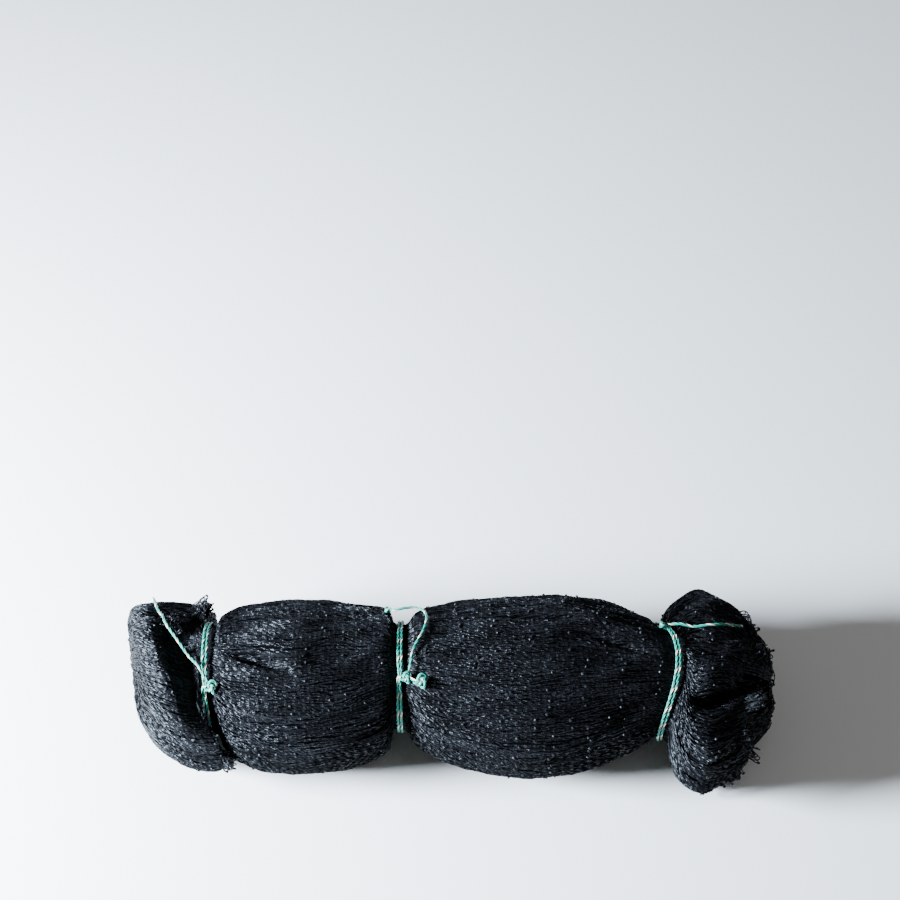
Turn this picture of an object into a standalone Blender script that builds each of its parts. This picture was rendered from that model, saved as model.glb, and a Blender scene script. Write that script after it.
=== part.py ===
"""A knotted bird net, gathered lengthwise into a bundle and bound with three twine ties.

Metres, +Z up. The bundle lies along X on the surface z = 0. Its near side faces -Y.
The origin is the middle of the footprint, on that surface.
"""
import bisect
import math
from collections import namedtuple

import bmesh
import bpy
from mathutils import Matrix, Vector
from mathutils.bvhtree import BVHTree

PART_NAME = "netting_bundle"

# Twine and clearances
TWINE = 0.004              # thickness of the tie twine
SEAT = 0.0017              # how far a tie stands off the smooth surface that it binds
CORD_AIR = 0.0018          # least air between a loose end and the net under it
WRAP_PITCH = 0.0045        # distance between the two turns of a tie
WAIST_LAND = 0.015         # distance between the two equal sections that a tie lies between

# How finely the net is divided
RING_POINTS = 56
RINGS_PER_SPAN = 2
ROW_HALVINGS = 40          # how often the search for a place on the net is narrowed
END_RINGS = 3              # rows at each end whose surface turns back, left out of that search

# How finely the twine is divided
TIE_SIDES = 6
CORD_SIDES = 8
WRAP_POINTS = 48
KNOT_POINTS = 24
LOBE_REACH = 3.0           # how far a knot's lobes reach from its middle, in knot sizes
BRIDGE_STEPS = 4
CORD_STEP = 0.006
ROUTE_STEPS = 20           # points between two stops, before they are spaced evenly
WELD = 0.00001             # points of a twine that lie closer than this are one

# How a loose end is laid
SETTLE_ROUNDS = 5
EASE = 0.25                # how far each round draws a point towards its neighbours
EXIT_SAMPLES = 120
EXIT_AIR = 0.0007          # air between the cut of a loose end and its knot
EXIT_RIM = 8               # points round that cut

NET_COLOR = (0.012, 0.013, 0.017)
NET_ROUGHNESS = 0.62
TIE_COLOR = (0.05, 0.42, 0.33)
TIE_ROUGHNESS = 0.5

# The bundle's middle is moved by this much, so that the origin is the middle of the footprint
SHIFT_X = 0.00378
SHIFT_Y = 0.00514

# Cross sections of the gathered net from the left end to the right end.
# x, side, height: the section's middle. half_width is across (Y), half_height is up (Z).
# lean and tilt: how far the section slants along X for each metre across and up.
# bow: how far its near and far sides stand to the right of its middle.
# gather: how deep the pleats are there.
Section = namedtuple("Section", "x half_width half_height side height lean tilt bow gather")
SECTIONS = [
    Section(-0.432, 0.018, 0.014, 0.032, 0.088, -0.10, 0.00, 0.000, 0.0000),
    Section(-0.446, 0.048, 0.036, 0.032, 0.088, -0.15, 0.00, 0.000, 0.0010),
    Section(-0.444, 0.082, 0.060, 0.027, 0.087, -0.20, 0.00, 0.000, 0.0025),
    Section(-0.429, 0.106, 0.082, 0.015, 0.090, -0.25, 0.00, 0.000, 0.0040),
    Section(-0.405, 0.119, 0.093, 0.006, 0.090, -0.27, -0.02, 0.004, 0.0050),
    Section(-0.380, 0.126, 0.091, 0.002, 0.088, -0.22, -0.03, 0.020, 0.0050),
    Section(-0.359, 0.123, 0.077, 0.003, 0.089, -0.12, -0.05, 0.035, 0.0040),
    Section(-0.3485, 0.096, 0.072, 0.004, 0.096, -0.06, -0.06, 0.012, 0.0015),
    Section(-0.3410, 0.080, 0.069, 0.005, 0.101, -0.03, -0.06, 0.000, 0.0000),
    Section(-0.3260, 0.080, 0.069, 0.005, 0.101, -0.03, -0.06, 0.000, 0.0000),
    Section(-0.314, 0.098, 0.079, 0.005, 0.097, -0.02, -0.05, 0.000, 0.0030),
    Section(-0.293, 0.117, 0.089, 0.005, 0.090, -0.01, -0.03, 0.000, 0.0045),
    Section(-0.258, 0.128, 0.095, 0.003, 0.087, 0.00, 0.00, 0.000, 0.0035),
    Section(-0.209, 0.133, 0.097, 0.003, 0.087, 0.00, 0.00, 0.000, 0.0025),
    Section(-0.152, 0.128, 0.094, 0.004, 0.087, 0.00, 0.00, 0.000, 0.0025),
    Section(-0.110, 0.117, 0.089, 0.007, 0.090, 0.00, 0.00, 0.000, 0.0040),
    Section(-0.087, 0.105, 0.083, 0.010, 0.095, 0.00, 0.00, 0.000, 0.0035),
    Section(-0.0755, 0.078, 0.069, 0.010, 0.101, 0.00, 0.00, 0.000, 0.0000),
    Section(-0.0605, 0.078, 0.069, 0.010, 0.101, 0.00, 0.00, 0.000, 0.0000),
    Section(-0.048, 0.094, 0.077, 0.010, 0.100, 0.00, 0.00, 0.000, 0.0030),
    Section(-0.028, 0.110, 0.086, 0.009, 0.095, 0.00, 0.00, 0.000, 0.0045),
    Section(0.014, 0.125, 0.093, 0.008, 0.090, 0.00, 0.00, 0.000, 0.0035),
    Section(0.064, 0.135, 0.097, 0.005, 0.089, 0.00, 0.00, 0.000, 0.0025),
    Section(0.116, 0.140, 0.099, 0.004, 0.089, 0.00, 0.00, 0.000, 0.0020),
    Section(0.164, 0.137, 0.099, 0.006, 0.089, 0.00, 0.01, 0.000, 0.0025),
    Section(0.210, 0.125, 0.093, 0.007, 0.091, 0.00, 0.04, 0.000, 0.0035),
    Section(0.250, 0.109, 0.086, 0.006, 0.095, 0.00, 0.06, -0.004, 0.0045),
    Section(0.283, 0.093, 0.078, 0.003, 0.099, -0.02, 0.08, -0.012, 0.0030),
    Section(0.3025, 0.083, 0.071, 0.001, 0.102, -0.03, 0.09, -0.020, 0.0000),
    Section(0.3175, 0.083, 0.071, 0.001, 0.102, -0.03, 0.09, -0.020, 0.0000),
    Section(0.3250, 0.112, 0.080, -0.004, 0.095, -0.01, 0.08, -0.020, 0.0030),
    Section(0.335, 0.142, 0.088, -0.006, 0.087, 0.01, 0.06, -0.014, 0.0055),
    Section(0.356, 0.160, 0.092, -0.005, 0.084, 0.02, 0.04, -0.004, 0.0070),
    Section(0.380, 0.148, 0.089, -0.002, 0.082, 0.04, 0.02, 0.000, 0.0070),
    Section(0.404, 0.127, 0.081, 0.001, 0.081, 0.05, 0.00, 0.000, 0.0060),
    Section(0.425, 0.098, 0.067, 0.003, 0.081, 0.05, 0.00, 0.000, 0.0045),
    Section(0.443, 0.066, 0.047, 0.004, 0.081, 0.04, 0.00, 0.000, 0.0030),
    Section(0.452, 0.038, 0.028, 0.004, 0.081, 0.02, 0.00, 0.000, 0.0010),
    Section(0.442, 0.016, 0.012, 0.004, 0.081, 0.00, 0.00, 0.000, 0.0000),
]

# Pleats run along the bundle. count: pleats round it, share: of the gather,
# turn: where the first lies (degrees), drift: how far they turn along it (degrees a metre)
Pleat = namedtuple("Pleat", "count share turn drift")
PLEATS = [
    Pleat(5, 0.45, 20, 130),
    Pleat(9, 0.35, 75, -210),
    Pleat(14, 0.30, 140, 260),
]

# Main creases (positive depth) and rolls (negative depth) that stand out from the pleats.
# first, last: where they run along X. from_angle, to_angle, spread: round the bundle, in
# degrees, 0 on the far side, 90 on top, 180 on the near side.
Fold = namedtuple("Fold", "first last from_angle to_angle spread depth")
FOLDS = [
    Fold(-0.318, -0.205, 88, 106, 7, 0.006),
    Fold(-0.314, -0.225, 76, 88, 9, -0.003),
    Fold(-0.312, -0.220, 104, 120, 9, -0.003),
    Fold(-0.440, -0.345, 56, 50, 8, 0.012),
    Fold(-0.435, -0.350, 82, 74, 8, 0.009),
    Fold(-0.440, -0.350, 70, 62, 7, -0.005),
    Fold(-0.430, -0.350, 30, 34, 10, -0.004),
    Fold(-0.430, -0.345, 212, 208, 8, 0.006),
    Fold(-0.394, -0.344, 116, 116, 40, 0.010),
    Fold(0.150, 0.300, 84, 92, 8, 0.005),
    Fold(0.110, 0.290, 62, 72, 10, -0.004),
    Fold(0.318, 0.450, 119, 113, 8, 0.017),
    Fold(0.325, 0.440, 100, 96, 11, -0.005),
    Fold(0.325, 0.430, 78, 72, 8, 0.007),
    Fold(0.330, 0.430, 46, 52, 14, -0.006),
    Fold(0.330, 0.440, 146, 142, 12, -0.005),
    Fold(0.330, 0.440, 178, 172, 8, 0.008),
    Fold(0.330, 0.440, 210, 205, 9, 0.006),
    Fold(0.330, 0.440, 15, 20, 9, 0.006),
]

# Where each tie binds the bundle. row: its place in SECTIONS, between two equal sections.
# knot_angle, knot_shift, knot_lift: the knot's place round the waist, along it and off it.
# knot_tilt: how far the knot leans against the shoulder of the net (degrees).
# knot_size: scale of the knot, whose lobes reach three times as far.
Tie = namedtuple("Tie", "name row knot_angle knot_shift knot_lift knot_tilt knot_size")
TIES = [
    Tie("tie_left", 8.5, 130, 0.0104, 0.0122, 40, 0.0031),
    Tie("tie_middle", 17.5, 124, 0.0095, 0.0099, 30, 0.0026),
    Tie("tie_right", 28.5, 55, -0.0066, 0.0070, -20, 0.0024),
]

# The short end of the middle tie stops in a knot of its own, close beside the first
END_KNOT_X = -0.0380
END_KNOT_ANGLE = 123
END_KNOT_LIFT = 0.0078
END_KNOT_TILT = 20
END_KNOT_SIZE = 0.0033

# Routes of the loose twine ends over the net, from where they have left their knots.
# x and angle are the place on the net, lift is how far the middle of the twine stands off it
Stop = namedtuple("Stop", "x angle lift")
LOOSE_ENDS = {
    "tie_left": [
        Stop(-0.3380, 117, 0.0130),
        Stop(-0.3460, 107, 0.0096),
        Stop(-0.3575, 95, 0.0070),
        Stop(-0.3737, 84, 0.0046),
        Stop(-0.3930, 71, 0.0042),
        Stop(-0.4080, 53, 0.0042),
        Stop(-0.4190, 38, 0.0056),
        Stop(-0.4235, 31, 0.0096),
    ],
    "tie_middle": [
        Stop(-0.0530, 113, 0.0100),
        Stop(-0.0515, 106, 0.0074),
        Stop(-0.0500, 98, 0.0050),
        Stop(-0.0428, 87, 0.0042),
        Stop(-0.0338, 78, 0.0040),
        Stop(-0.0305, 68, 0.0040),
        Stop(-0.0335, 56, 0.0050),
        Stop(-0.0430, 47, 0.0110),
        Stop(-0.0560, 43, 0.0210),
        Stop(-0.0700, 43, 0.0230),
        Stop(-0.0810, 45, 0.0110),
        Stop(-0.0860, 47, 0.0060),
    ],
    "tie_right": [
        Stop(0.3170, 59, 0.0110),
        Stop(0.3270, 64, 0.0084),
        Stop(0.3390, 70, 0.0060),
        Stop(0.3570, 73, 0.0044),
        Stop(0.3820, 72, 0.0042),
        Stop(0.4130, 63, 0.0050),
    ],
}


def curve_between(a, b, c, d, t):
    """A value on the smooth curve from b to c. a comes before them and d after."""
    return 0.5 * (2 * b + (c - a) * t + (2 * a - 5 * b + 4 * c - d) * t ** 2
                  + (3 * b - a - 3 * c + d) * t ** 3)


def blend_row(row):
    """The section at a fractional place in SECTIONS, on a smooth curve through all of them."""
    last = len(SECTIONS) - 1
    start = min(max(int(math.floor(row)), 0), last - 1)
    t = row - start
    nearby = [SECTIONS[min(max(start + k, 0), last)] for k in (-1, 0, 1, 2)]
    return Section(*(curve_between(*values, t) for values in zip(*nearby)))


def fold_depth(x, angle):
    """How far the main folds sink (or raise, if negative) the net at this place."""
    depth = 0.0
    for fold in FOLDS:
        along = (x - fold.first) / (fold.last - fold.first)
        if 0.0 < along < 1.0:
            line = fold.from_angle + (fold.to_angle - fold.from_angle) * along
            around = (angle - line) / fold.spread
            depth += fold.depth * math.sin(math.pi * along) * math.exp(-around * around)
    return depth


def net_point(row, angle, folded=True):
    """A point of the net's surface. The angle is in degrees round the bundle."""
    s = blend_row(row)
    turn = math.radians(angle)
    swell = -fold_depth(s.x, angle % 360.0) if folded else 0.0
    for pleat in PLEATS:
        phase = pleat.count * turn + math.radians(pleat.turn + pleat.drift * s.x * pleat.count)
        swell += s.gather * pleat.share * math.cos(phase)
    across = (s.half_width + swell) * math.cos(turn)
    up = (s.half_height + swell) * math.sin(turn)
    place_z = max(s.height + up, 0.0)
    place_x = s.x + s.lean * across + s.tilt * up + s.bow * math.cos(turn) ** 2
    return Vector((place_x + SHIFT_X, s.side + across + SHIFT_Y, place_z))


def net_row(x, angle):
    """The row whose surface point at this angle lies at x, away from the two end faces."""
    low, high = float(END_RINGS), float(len(SECTIONS) - 1 - END_RINGS)
    for _ in range(ROW_HALVINGS):
        middle = (low + high) / 2
        if net_point(middle, angle).x < x + SHIFT_X:
            low = middle
        else:
            high = middle
    return (low + high) / 2


def outward_at(row, angle):
    """The direction straight away from the bundle's length at this place."""
    around = net_point(row, angle + 1.0, False) - net_point(row, angle - 1.0, False)
    outward = around.cross(Vector((1.0, 0.0, 0.0)))
    outward.x = 0.0
    return outward.normalized()


def off_net(row, angle, lift):
    """A point over the net. Twine bridges the creases, so they are left out here."""
    return net_point(row, angle, False) + outward_at(row, angle) * lift


def material(name, color, roughness):
    mat = bpy.data.materials.new(name)
    mat.use_nodes = True
    shader = mat.node_tree.nodes["Principled BSDF"]
    shader.inputs["Base Color"].default_value = (*color, 1.0)
    shader.inputs["Roughness"].default_value = roughness
    shader.inputs["Metallic"].default_value = 0.0
    return mat


def add_object(name, mesh, mat, collection):
    obj = bpy.data.objects.new(name, mesh)
    obj.data.materials.clear()
    obj.data.materials.append(mat)
    collection.objects.link(obj)
    return obj


def net_mesh():
    """The gathered net as one closed loft, its two end faces dimpled in the middle."""
    bm = bmesh.new()
    spans = len(SECTIONS) - 1
    rings = []
    for step in range(spans * RINGS_PER_SPAN + 1):
        row = step / RINGS_PER_SPAN
        angles = [360.0 * k / RING_POINTS for k in range(RING_POINTS)]
        rings.append([bm.verts.new(net_point(row, angle)) for angle in angles])
    for ring, following in zip(rings, rings[1:]):
        for k in range(RING_POINTS):
            n = (k + 1) % RING_POINTS
            bm.faces.new((ring[k], following[k], following[n], ring[n]))
    for ring in (rings[0], rings[-1]):
        middle = sum((vert.co for vert in ring), Vector()) / RING_POINTS
        pole = bm.verts.new(middle)
        for k in range(RING_POINTS):
            bm.faces.new((pole, ring[k], ring[(k + 1) % RING_POINTS]))
    bmesh.ops.recalc_face_normals(bm, faces=bm.faces)
    mesh = bpy.data.meshes.new("net_bundle")
    bm.to_mesh(mesh)
    bm.free()
    mesh.shade_smooth()
    return mesh


def tube_curve(name, points, closed, sides):
    """A twine along these points, as a curve with a round section."""
    curve = bpy.data.curves.new(name, "CURVE")
    curve.dimensions = "3D"
    curve.bevel_depth = TWINE / 2
    curve.bevel_resolution = sides // 2 - 2
    curve.use_fill_caps = not closed
    spline = curve.splines.new("POLY")
    spline.points.add(len(points) - 1)
    for item, place in zip(spline.points, points):
        item.co = (*place, 1.0)
    spline.use_cyclic_u = closed
    return curve


def mesh_of_curve(name, curve, mat, collection):
    """A twine as a mesh object, so that a Boolean can join it."""
    drawn = add_object(name + "_curve", curve, mat, collection)
    bpy.context.view_layer.update()
    evaluated = drawn.evaluated_get(bpy.context.evaluated_depsgraph_get())
    mesh = bpy.data.meshes.new_from_object(evaluated)
    bm = bmesh.new()
    bm.from_mesh(mesh)
    bmesh.ops.remove_doubles(bm, verts=bm.verts, dist=WELD)
    bmesh.ops.recalc_face_normals(bm, faces=bm.faces)
    bm.to_mesh(mesh)
    bm.free()
    mesh.shade_smooth()
    obj = add_object(name, mesh, mat, collection)
    obj.matrix_world = drawn.matrix_world
    bpy.data.objects.remove(drawn)
    return obj


def wrap_points(row, along, count):
    """One turn of a tie: round the waist at this row, moved a little along the bundle."""
    here = row + along / WAIST_LAND
    return [off_net(here, 360.0 * k / count, TWINE / 2 + SEAT) for k in range(count)]


def knot_points(count, size):
    """The line of a trefoil, which is an overhand knot whose ends have been joined.

    One of its three lobes points towards -X, where the turns of the tie are.
    """
    points = []
    for k in range(count):
        t = 2 * math.pi * k / count
        points.append(Vector((math.cos(t) - 2 * math.cos(2 * t),
                              -math.sin(t) - 2 * math.sin(2 * t),
                              -1.1 * math.sin(3 * t))) * size)
    return points


def place_knot(row, angle, along, lift, tilt):
    """A frame over the net at this place: Z outward, X along the bundle, then tilted.

    A knot to the left of its tie is turned round, so that its lobe points to the turns.
    """
    seat = off_net(row, angle, lift) + Vector((along, 0.0, 0.0))
    outward = outward_at(row, angle)
    across = outward.cross(Vector((1.0, 0.0, 0.0))).normalized()
    axis = across.cross(outward)
    frame = Matrix.Translation(seat) @ Matrix((axis, across, outward)).transposed().to_4x4()
    frame = frame @ Matrix.Rotation(-math.radians(tilt), 4, "Y")
    if along < 0.0:
        frame = frame @ Matrix.Rotation(math.pi, 4, "Z")
    return frame


def tie_knot_frame(tie):
    return place_knot(tie.row, tie.knot_angle, tie.knot_shift, tie.knot_lift, tie.knot_tilt)


def knot_exit(tie, toward):
    """Where a loose end leaves its knot: on the way from a point outside it to its middle."""
    frame = tie_knot_frame(tie)
    knot = [frame @ place for place in knot_points(EXIT_SAMPLES, tie.knot_size)]
    turn = [place for along in (-WRAP_PITCH / 2, WRAP_PITCH / 2)
            for place in wrap_points(tie.row, along, 4 * EXIT_SAMPLES)]
    spin = (toward - frame.translation).to_track_quat("Z", "Y").to_matrix()
    rim = [spin @ Matrix.Rotation(2 * math.pi * k / EXIT_RIM, 3, "Z") @ Vector((TWINE / 2, 0, 0))
           for k in range(EXIT_RIM)]
    place = toward
    for step in range(EXIT_SAMPLES):
        nearer = toward.lerp(frame.translation, step / EXIT_SAMPLES)
        cut = [nearer + offset for offset in rim]
        gap = min((corner - other).length for corner in cut for other in knot + turn) - TWINE / 2
        if gap < EXIT_AIR:
            break
        place = nearer
    return place


def settle(points, net_tree):
    """Eases the sharpest bends, and lifts the twine clear of the folds under it."""
    for _ in range(SETTLE_ROUNDS):
        eased = [here.lerp((before + after) / 2, EASE)
                 for before, here, after in zip(points, points[1:], points[2:])]
        points = [points[0], *eased, points[-1]]
        for i, place in enumerate(points):
            nearest, normal, _, distance = net_tree.find_nearest(place)
            inside = (place - nearest).dot(normal) < 0.0
            needed = TWINE / 2 + CORD_AIR
            if inside or distance < needed:
                points[i] = nearest + normal * needed
    return points


def smooth_route(tie, stops):
    """Evenly spaced points on a smooth curve from the knot through the stops of its loose end."""
    fixed = [off_net(net_row(s.x, s.angle), s.angle, s.lift) for s in stops]
    fixed.insert(0, knot_exit(tie, fixed[0]))
    fine = []
    for i in range(len(fixed) - 1):
        nearby = [fixed[min(max(i + k, 0), len(fixed) - 1)] for k in (-1, 0, 1, 2)]
        fine += [curve_between(*nearby, k / ROUTE_STEPS) for k in range(ROUTE_STEPS)]
    fine.append(fixed[-1])
    travelled = [0.0]
    for a, b in zip(fine, fine[1:]):
        travelled.append(travelled[-1] + (b - a).length)
    count = max(int(round(travelled[-1] / CORD_STEP)), 2)
    points = []
    for k in range(count + 1):
        target = travelled[-1] * k / count
        i = min(max(bisect.bisect_left(travelled, target), 1), len(fine) - 1)
        part = (target - travelled[i - 1]) / (travelled[i] - travelled[i - 1])
        points.append(fine[i - 1].lerp(fine[i], part))
    return points


def build_net(collection):
    net = material("net_twine", NET_COLOR, NET_ROUGHNESS)
    return add_object("net_bundle", net_mesh(), net, collection)


def knot_mesh_object(name, frame, size, mat, collection):
    line = knot_points(KNOT_POINTS, size)
    knot = mesh_of_curve(name, tube_curve(name, line, True, TIE_SIDES), mat, collection)
    knot.data.transform(frame)
    return knot


def join(target, piece):
    """Fuses a helper piece into the target with a Boolean."""
    piece.hide_render = True
    piece.display_type = "WIRE"
    union = target.modifiers.new("join_" + piece.name, "BOOLEAN")
    union.operation = "UNION"
    union.solver = "EXACT"
    union.object = piece


def strand(name, start, end, mat, collection):
    """A short straight length of twine, as a mesh object."""
    points = [start.lerp(end, k / BRIDGE_STEPS) for k in range(BRIDGE_STEPS + 1)]
    return mesh_of_curve(name, tube_curve(name, points, False, TIE_SIDES), mat, collection)


def crossing_line(tie):
    """From the turn further from the knot, over the nearer one, to the tip of the knot's lobe."""
    far_turn = tie.row - math.copysign(WRAP_PITCH / 2, tie.knot_shift) / WAIST_LAND
    start = off_net(far_turn, tie.knot_angle, TWINE / 2 + SEAT)
    return start, tie_knot_frame(tie) @ Vector((-LOBE_REACH * tie.knot_size, 0.0, 0.0))


def build_tie(tie, mat, collection, tools):
    """Two turns round the waist, joined by their knot and the twine that crosses into it."""
    knot = knot_mesh_object(tie.name, tie_knot_frame(tie), tie.knot_size, mat, collection)
    start, end = crossing_line(tie)
    join(knot, strand(tie.name + "_crossing", start, end, mat, tools))
    for number, along in enumerate((-WRAP_PITCH / 2, WRAP_PITCH / 2), 1):
        name = f"{tie.name}_turn_{number}"
        line = wrap_points(tie.row, along, WRAP_POINTS)
        turn = mesh_of_curve(name, tube_curve(name, line, True, TIE_SIDES), mat, tools)
        join(knot, turn)
    return knot


def add_end_knot(tie, tie_object, mat, tools):
    """The short end of the middle tie: a bridge of twine from its knot, and a second knot."""
    row = net_row(END_KNOT_X, END_KNOT_ANGLE)
    frame = place_knot(row, END_KNOT_ANGLE, 0.0, END_KNOT_LIFT, END_KNOT_TILT)
    join(tie_object, knot_mesh_object("end_knot", frame, END_KNOT_SIZE, mat, tools))
    from_point = tie_knot_frame(tie) @ Vector((tie.knot_size * 2, 0.0, 0.0))
    to_point = frame @ Vector((-END_KNOT_SIZE * 2, 0.0, 0.0))
    join(tie_object, strand("bridge", from_point, to_point, mat, tools))


def build_loose_end(tie, net_tree, mat, collection):
    name = tie.name + "_end"
    points = settle(smooth_route(tie, LOOSE_ENDS[tie.name]), net_tree)
    return add_object(name, tube_curve(name, points, False, CORD_SIDES), mat, collection)


def main():
    for obj in list(bpy.data.objects):
        bpy.data.objects.remove(obj, do_unlink=True)
    parts = bpy.data.collections.new(PART_NAME)
    tools = bpy.data.collections.new("joining_tools")
    bpy.context.scene.collection.children.link(parts)
    bpy.context.scene.collection.children.link(tools)
    net = build_net(parts)
    net_tree = BVHTree.FromPolygons([vert.co for vert in net.data.vertices],
                                    [face.vertices for face in net.data.polygons])
    twine = material("tie_twine", TIE_COLOR, TIE_ROUGHNESS)
    for tie in TIES:
        tied = build_tie(tie, twine, parts, tools)
        if tie.name == "tie_middle":
            add_end_knot(tie, tied, twine, tools)
        build_loose_end(tie, net_tree, twine, parts)


main()
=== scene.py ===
# %% [markdown]
# # A bundle of aviary netting
#
# Aviary netting is knotted from thin black twine into diamond meshes. This bundle is one whole
# net, pulled together lengthwise like a closed curtain, so that its thousands of twines run side
# by side. Three ties of green twine bind it into four soft lobes. The first cell loads the solid
# model of the bundle, which fixes every size and place in the scene.

import math
from collections import namedtuple
from functools import partial

import bmesh
import bpy
import numpy as np
from mathutils import Matrix, Vector, kdtree
from mathutils.bvhtree import BVHTree


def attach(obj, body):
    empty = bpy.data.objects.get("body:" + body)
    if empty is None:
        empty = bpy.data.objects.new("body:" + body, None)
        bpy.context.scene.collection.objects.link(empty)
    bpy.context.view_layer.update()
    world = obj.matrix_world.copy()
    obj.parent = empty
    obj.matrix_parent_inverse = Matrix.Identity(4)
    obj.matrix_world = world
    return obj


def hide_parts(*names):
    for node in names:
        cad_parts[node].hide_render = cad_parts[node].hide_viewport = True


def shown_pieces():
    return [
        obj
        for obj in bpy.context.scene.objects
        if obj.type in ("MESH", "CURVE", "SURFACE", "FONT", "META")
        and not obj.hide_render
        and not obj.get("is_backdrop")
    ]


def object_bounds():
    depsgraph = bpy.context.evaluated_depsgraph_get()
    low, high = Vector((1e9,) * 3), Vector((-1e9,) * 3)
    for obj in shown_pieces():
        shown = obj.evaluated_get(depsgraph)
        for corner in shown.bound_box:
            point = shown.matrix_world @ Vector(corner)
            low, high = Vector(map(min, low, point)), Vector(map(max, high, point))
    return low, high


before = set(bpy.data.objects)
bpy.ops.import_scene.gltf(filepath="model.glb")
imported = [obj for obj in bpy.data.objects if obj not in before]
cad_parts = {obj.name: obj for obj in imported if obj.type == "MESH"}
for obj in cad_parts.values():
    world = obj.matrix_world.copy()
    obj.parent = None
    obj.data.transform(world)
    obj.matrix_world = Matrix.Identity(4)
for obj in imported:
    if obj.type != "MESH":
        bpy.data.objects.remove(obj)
bpy.context.view_layer.update()
cad_box = [list(corner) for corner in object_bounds()]


def show_box(title, box):
    print(title, "from", [round(v, 3) for v in box[0]], "to", [round(v, 3) for v in box[1]])


def add_object(name, data):
    """A new object at the origin of the scene."""
    made = bpy.data.objects.new(name, data)
    bpy.context.scene.collection.objects.link(made)
    return made


show_box("solid model", cad_box)

# %% [markdown]
# ## The shape of the bundle
#
# A soft bundle can be described by its cross sections, as a boat is by its frames. Each row of
# this table is one section: where it stands along the bundle, how wide and high it is, and how it
# leans. The same rows made the solid model, so twines that are laid with them lie on its surface.
# Two equal rows side by side are a waist, where a tie pulls the net in.

# %% Cross sections, pleats and creases
SHIFT_X = 0.00378
SHIFT_Y = 0.00514
# One section a row, with the columns of Section
Section = namedtuple("Section", "x half_width half_height side height lean tilt bow gather")
SECTIONS = np.array([
    (-0.432, 0.018, 0.014, 0.032, 0.088, -0.1, 0.0, 0.0, 0.0),
    (-0.446, 0.048, 0.036, 0.032, 0.088, -0.15, 0.0, 0.0, 0.001),
    (-0.444, 0.082, 0.06, 0.027, 0.087, -0.2, 0.0, 0.0, 0.0025),
    (-0.429, 0.106, 0.082, 0.015, 0.09, -0.25, 0.0, 0.0, 0.004),
    (-0.405, 0.119, 0.093, 0.006, 0.09, -0.27, -0.02, 0.004, 0.005),
    (-0.38, 0.126, 0.091, 0.002, 0.088, -0.22, -0.03, 0.02, 0.005),
    (-0.359, 0.123, 0.077, 0.003, 0.089, -0.12, -0.05, 0.035, 0.004),
    (-0.3485, 0.096, 0.072, 0.004, 0.096, -0.06, -0.06, 0.012, 0.0015),
    (-0.341, 0.08, 0.069, 0.005, 0.101, -0.03, -0.06, 0.0, 0.0),
    (-0.326, 0.08, 0.069, 0.005, 0.101, -0.03, -0.06, 0.0, 0.0),
    (-0.314, 0.098, 0.079, 0.005, 0.097, -0.02, -0.05, 0.0, 0.003),
    (-0.293, 0.117, 0.089, 0.005, 0.09, -0.01, -0.03, 0.0, 0.0045),
    (-0.258, 0.128, 0.095, 0.003, 0.087, 0.0, 0.0, 0.0, 0.0035),
    (-0.209, 0.133, 0.097, 0.003, 0.087, 0.0, 0.0, 0.0, 0.0025),
    (-0.152, 0.128, 0.094, 0.004, 0.087, 0.0, 0.0, 0.0, 0.0025),
    (-0.11, 0.117, 0.089, 0.007, 0.09, 0.0, 0.0, 0.0, 0.004),
    (-0.087, 0.105, 0.083, 0.01, 0.095, 0.0, 0.0, 0.0, 0.0035),
    (-0.0755, 0.078, 0.069, 0.01, 0.101, 0.0, 0.0, 0.0, 0.0),
    (-0.0605, 0.078, 0.069, 0.01, 0.101, 0.0, 0.0, 0.0, 0.0),
    (-0.048, 0.094, 0.077, 0.01, 0.1, 0.0, 0.0, 0.0, 0.003),
    (-0.028, 0.11, 0.086, 0.009, 0.095, 0.0, 0.0, 0.0, 0.0045),
    (0.014, 0.125, 0.093, 0.008, 0.09, 0.0, 0.0, 0.0, 0.0035),
    (0.064, 0.135, 0.097, 0.005, 0.089, 0.0, 0.0, 0.0, 0.0025),
    (0.116, 0.14, 0.099, 0.004, 0.089, 0.0, 0.0, 0.0, 0.002),
    (0.164, 0.137, 0.099, 0.006, 0.089, 0.0, 0.01, 0.0, 0.0025),
    (0.21, 0.125, 0.093, 0.007, 0.091, 0.0, 0.04, 0.0, 0.0035),
    (0.25, 0.109, 0.086, 0.006, 0.095, 0.0, 0.06, -0.004, 0.0045),
    (0.283, 0.093, 0.078, 0.003, 0.099, -0.02, 0.08, -0.012, 0.003),
    (0.3025, 0.083, 0.071, 0.001, 0.102, -0.03, 0.09, -0.02, 0.0),
    (0.3175, 0.083, 0.071, 0.001, 0.102, -0.03, 0.09, -0.02, 0.0),
    (0.325, 0.112, 0.08, -0.004, 0.095, -0.01, 0.08, -0.02, 0.003),
    (0.335, 0.142, 0.088, -0.006, 0.087, 0.01, 0.06, -0.014, 0.0055),
    (0.356, 0.16, 0.092, -0.005, 0.084, 0.02, 0.04, -0.004, 0.007),
    (0.38, 0.148, 0.089, -0.002, 0.082, 0.04, 0.02, 0.0, 0.007),
    (0.404, 0.127, 0.081, 0.001, 0.081, 0.05, 0.0, 0.0, 0.006),
    (0.425, 0.098, 0.067, 0.003, 0.081, 0.05, 0.0, 0.0, 0.0045),
    (0.443, 0.066, 0.047, 0.004, 0.081, 0.04, 0.0, 0.0, 0.003),
    (0.452, 0.038, 0.028, 0.004, 0.081, 0.02, 0.0, 0.0, 0.001),
    (0.442, 0.016, 0.012, 0.004, 0.081, 0.0, 0.0, 0.0, 0.0),
])
WAIST_ROWS = (8.5, 17.5, 28.5)

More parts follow.
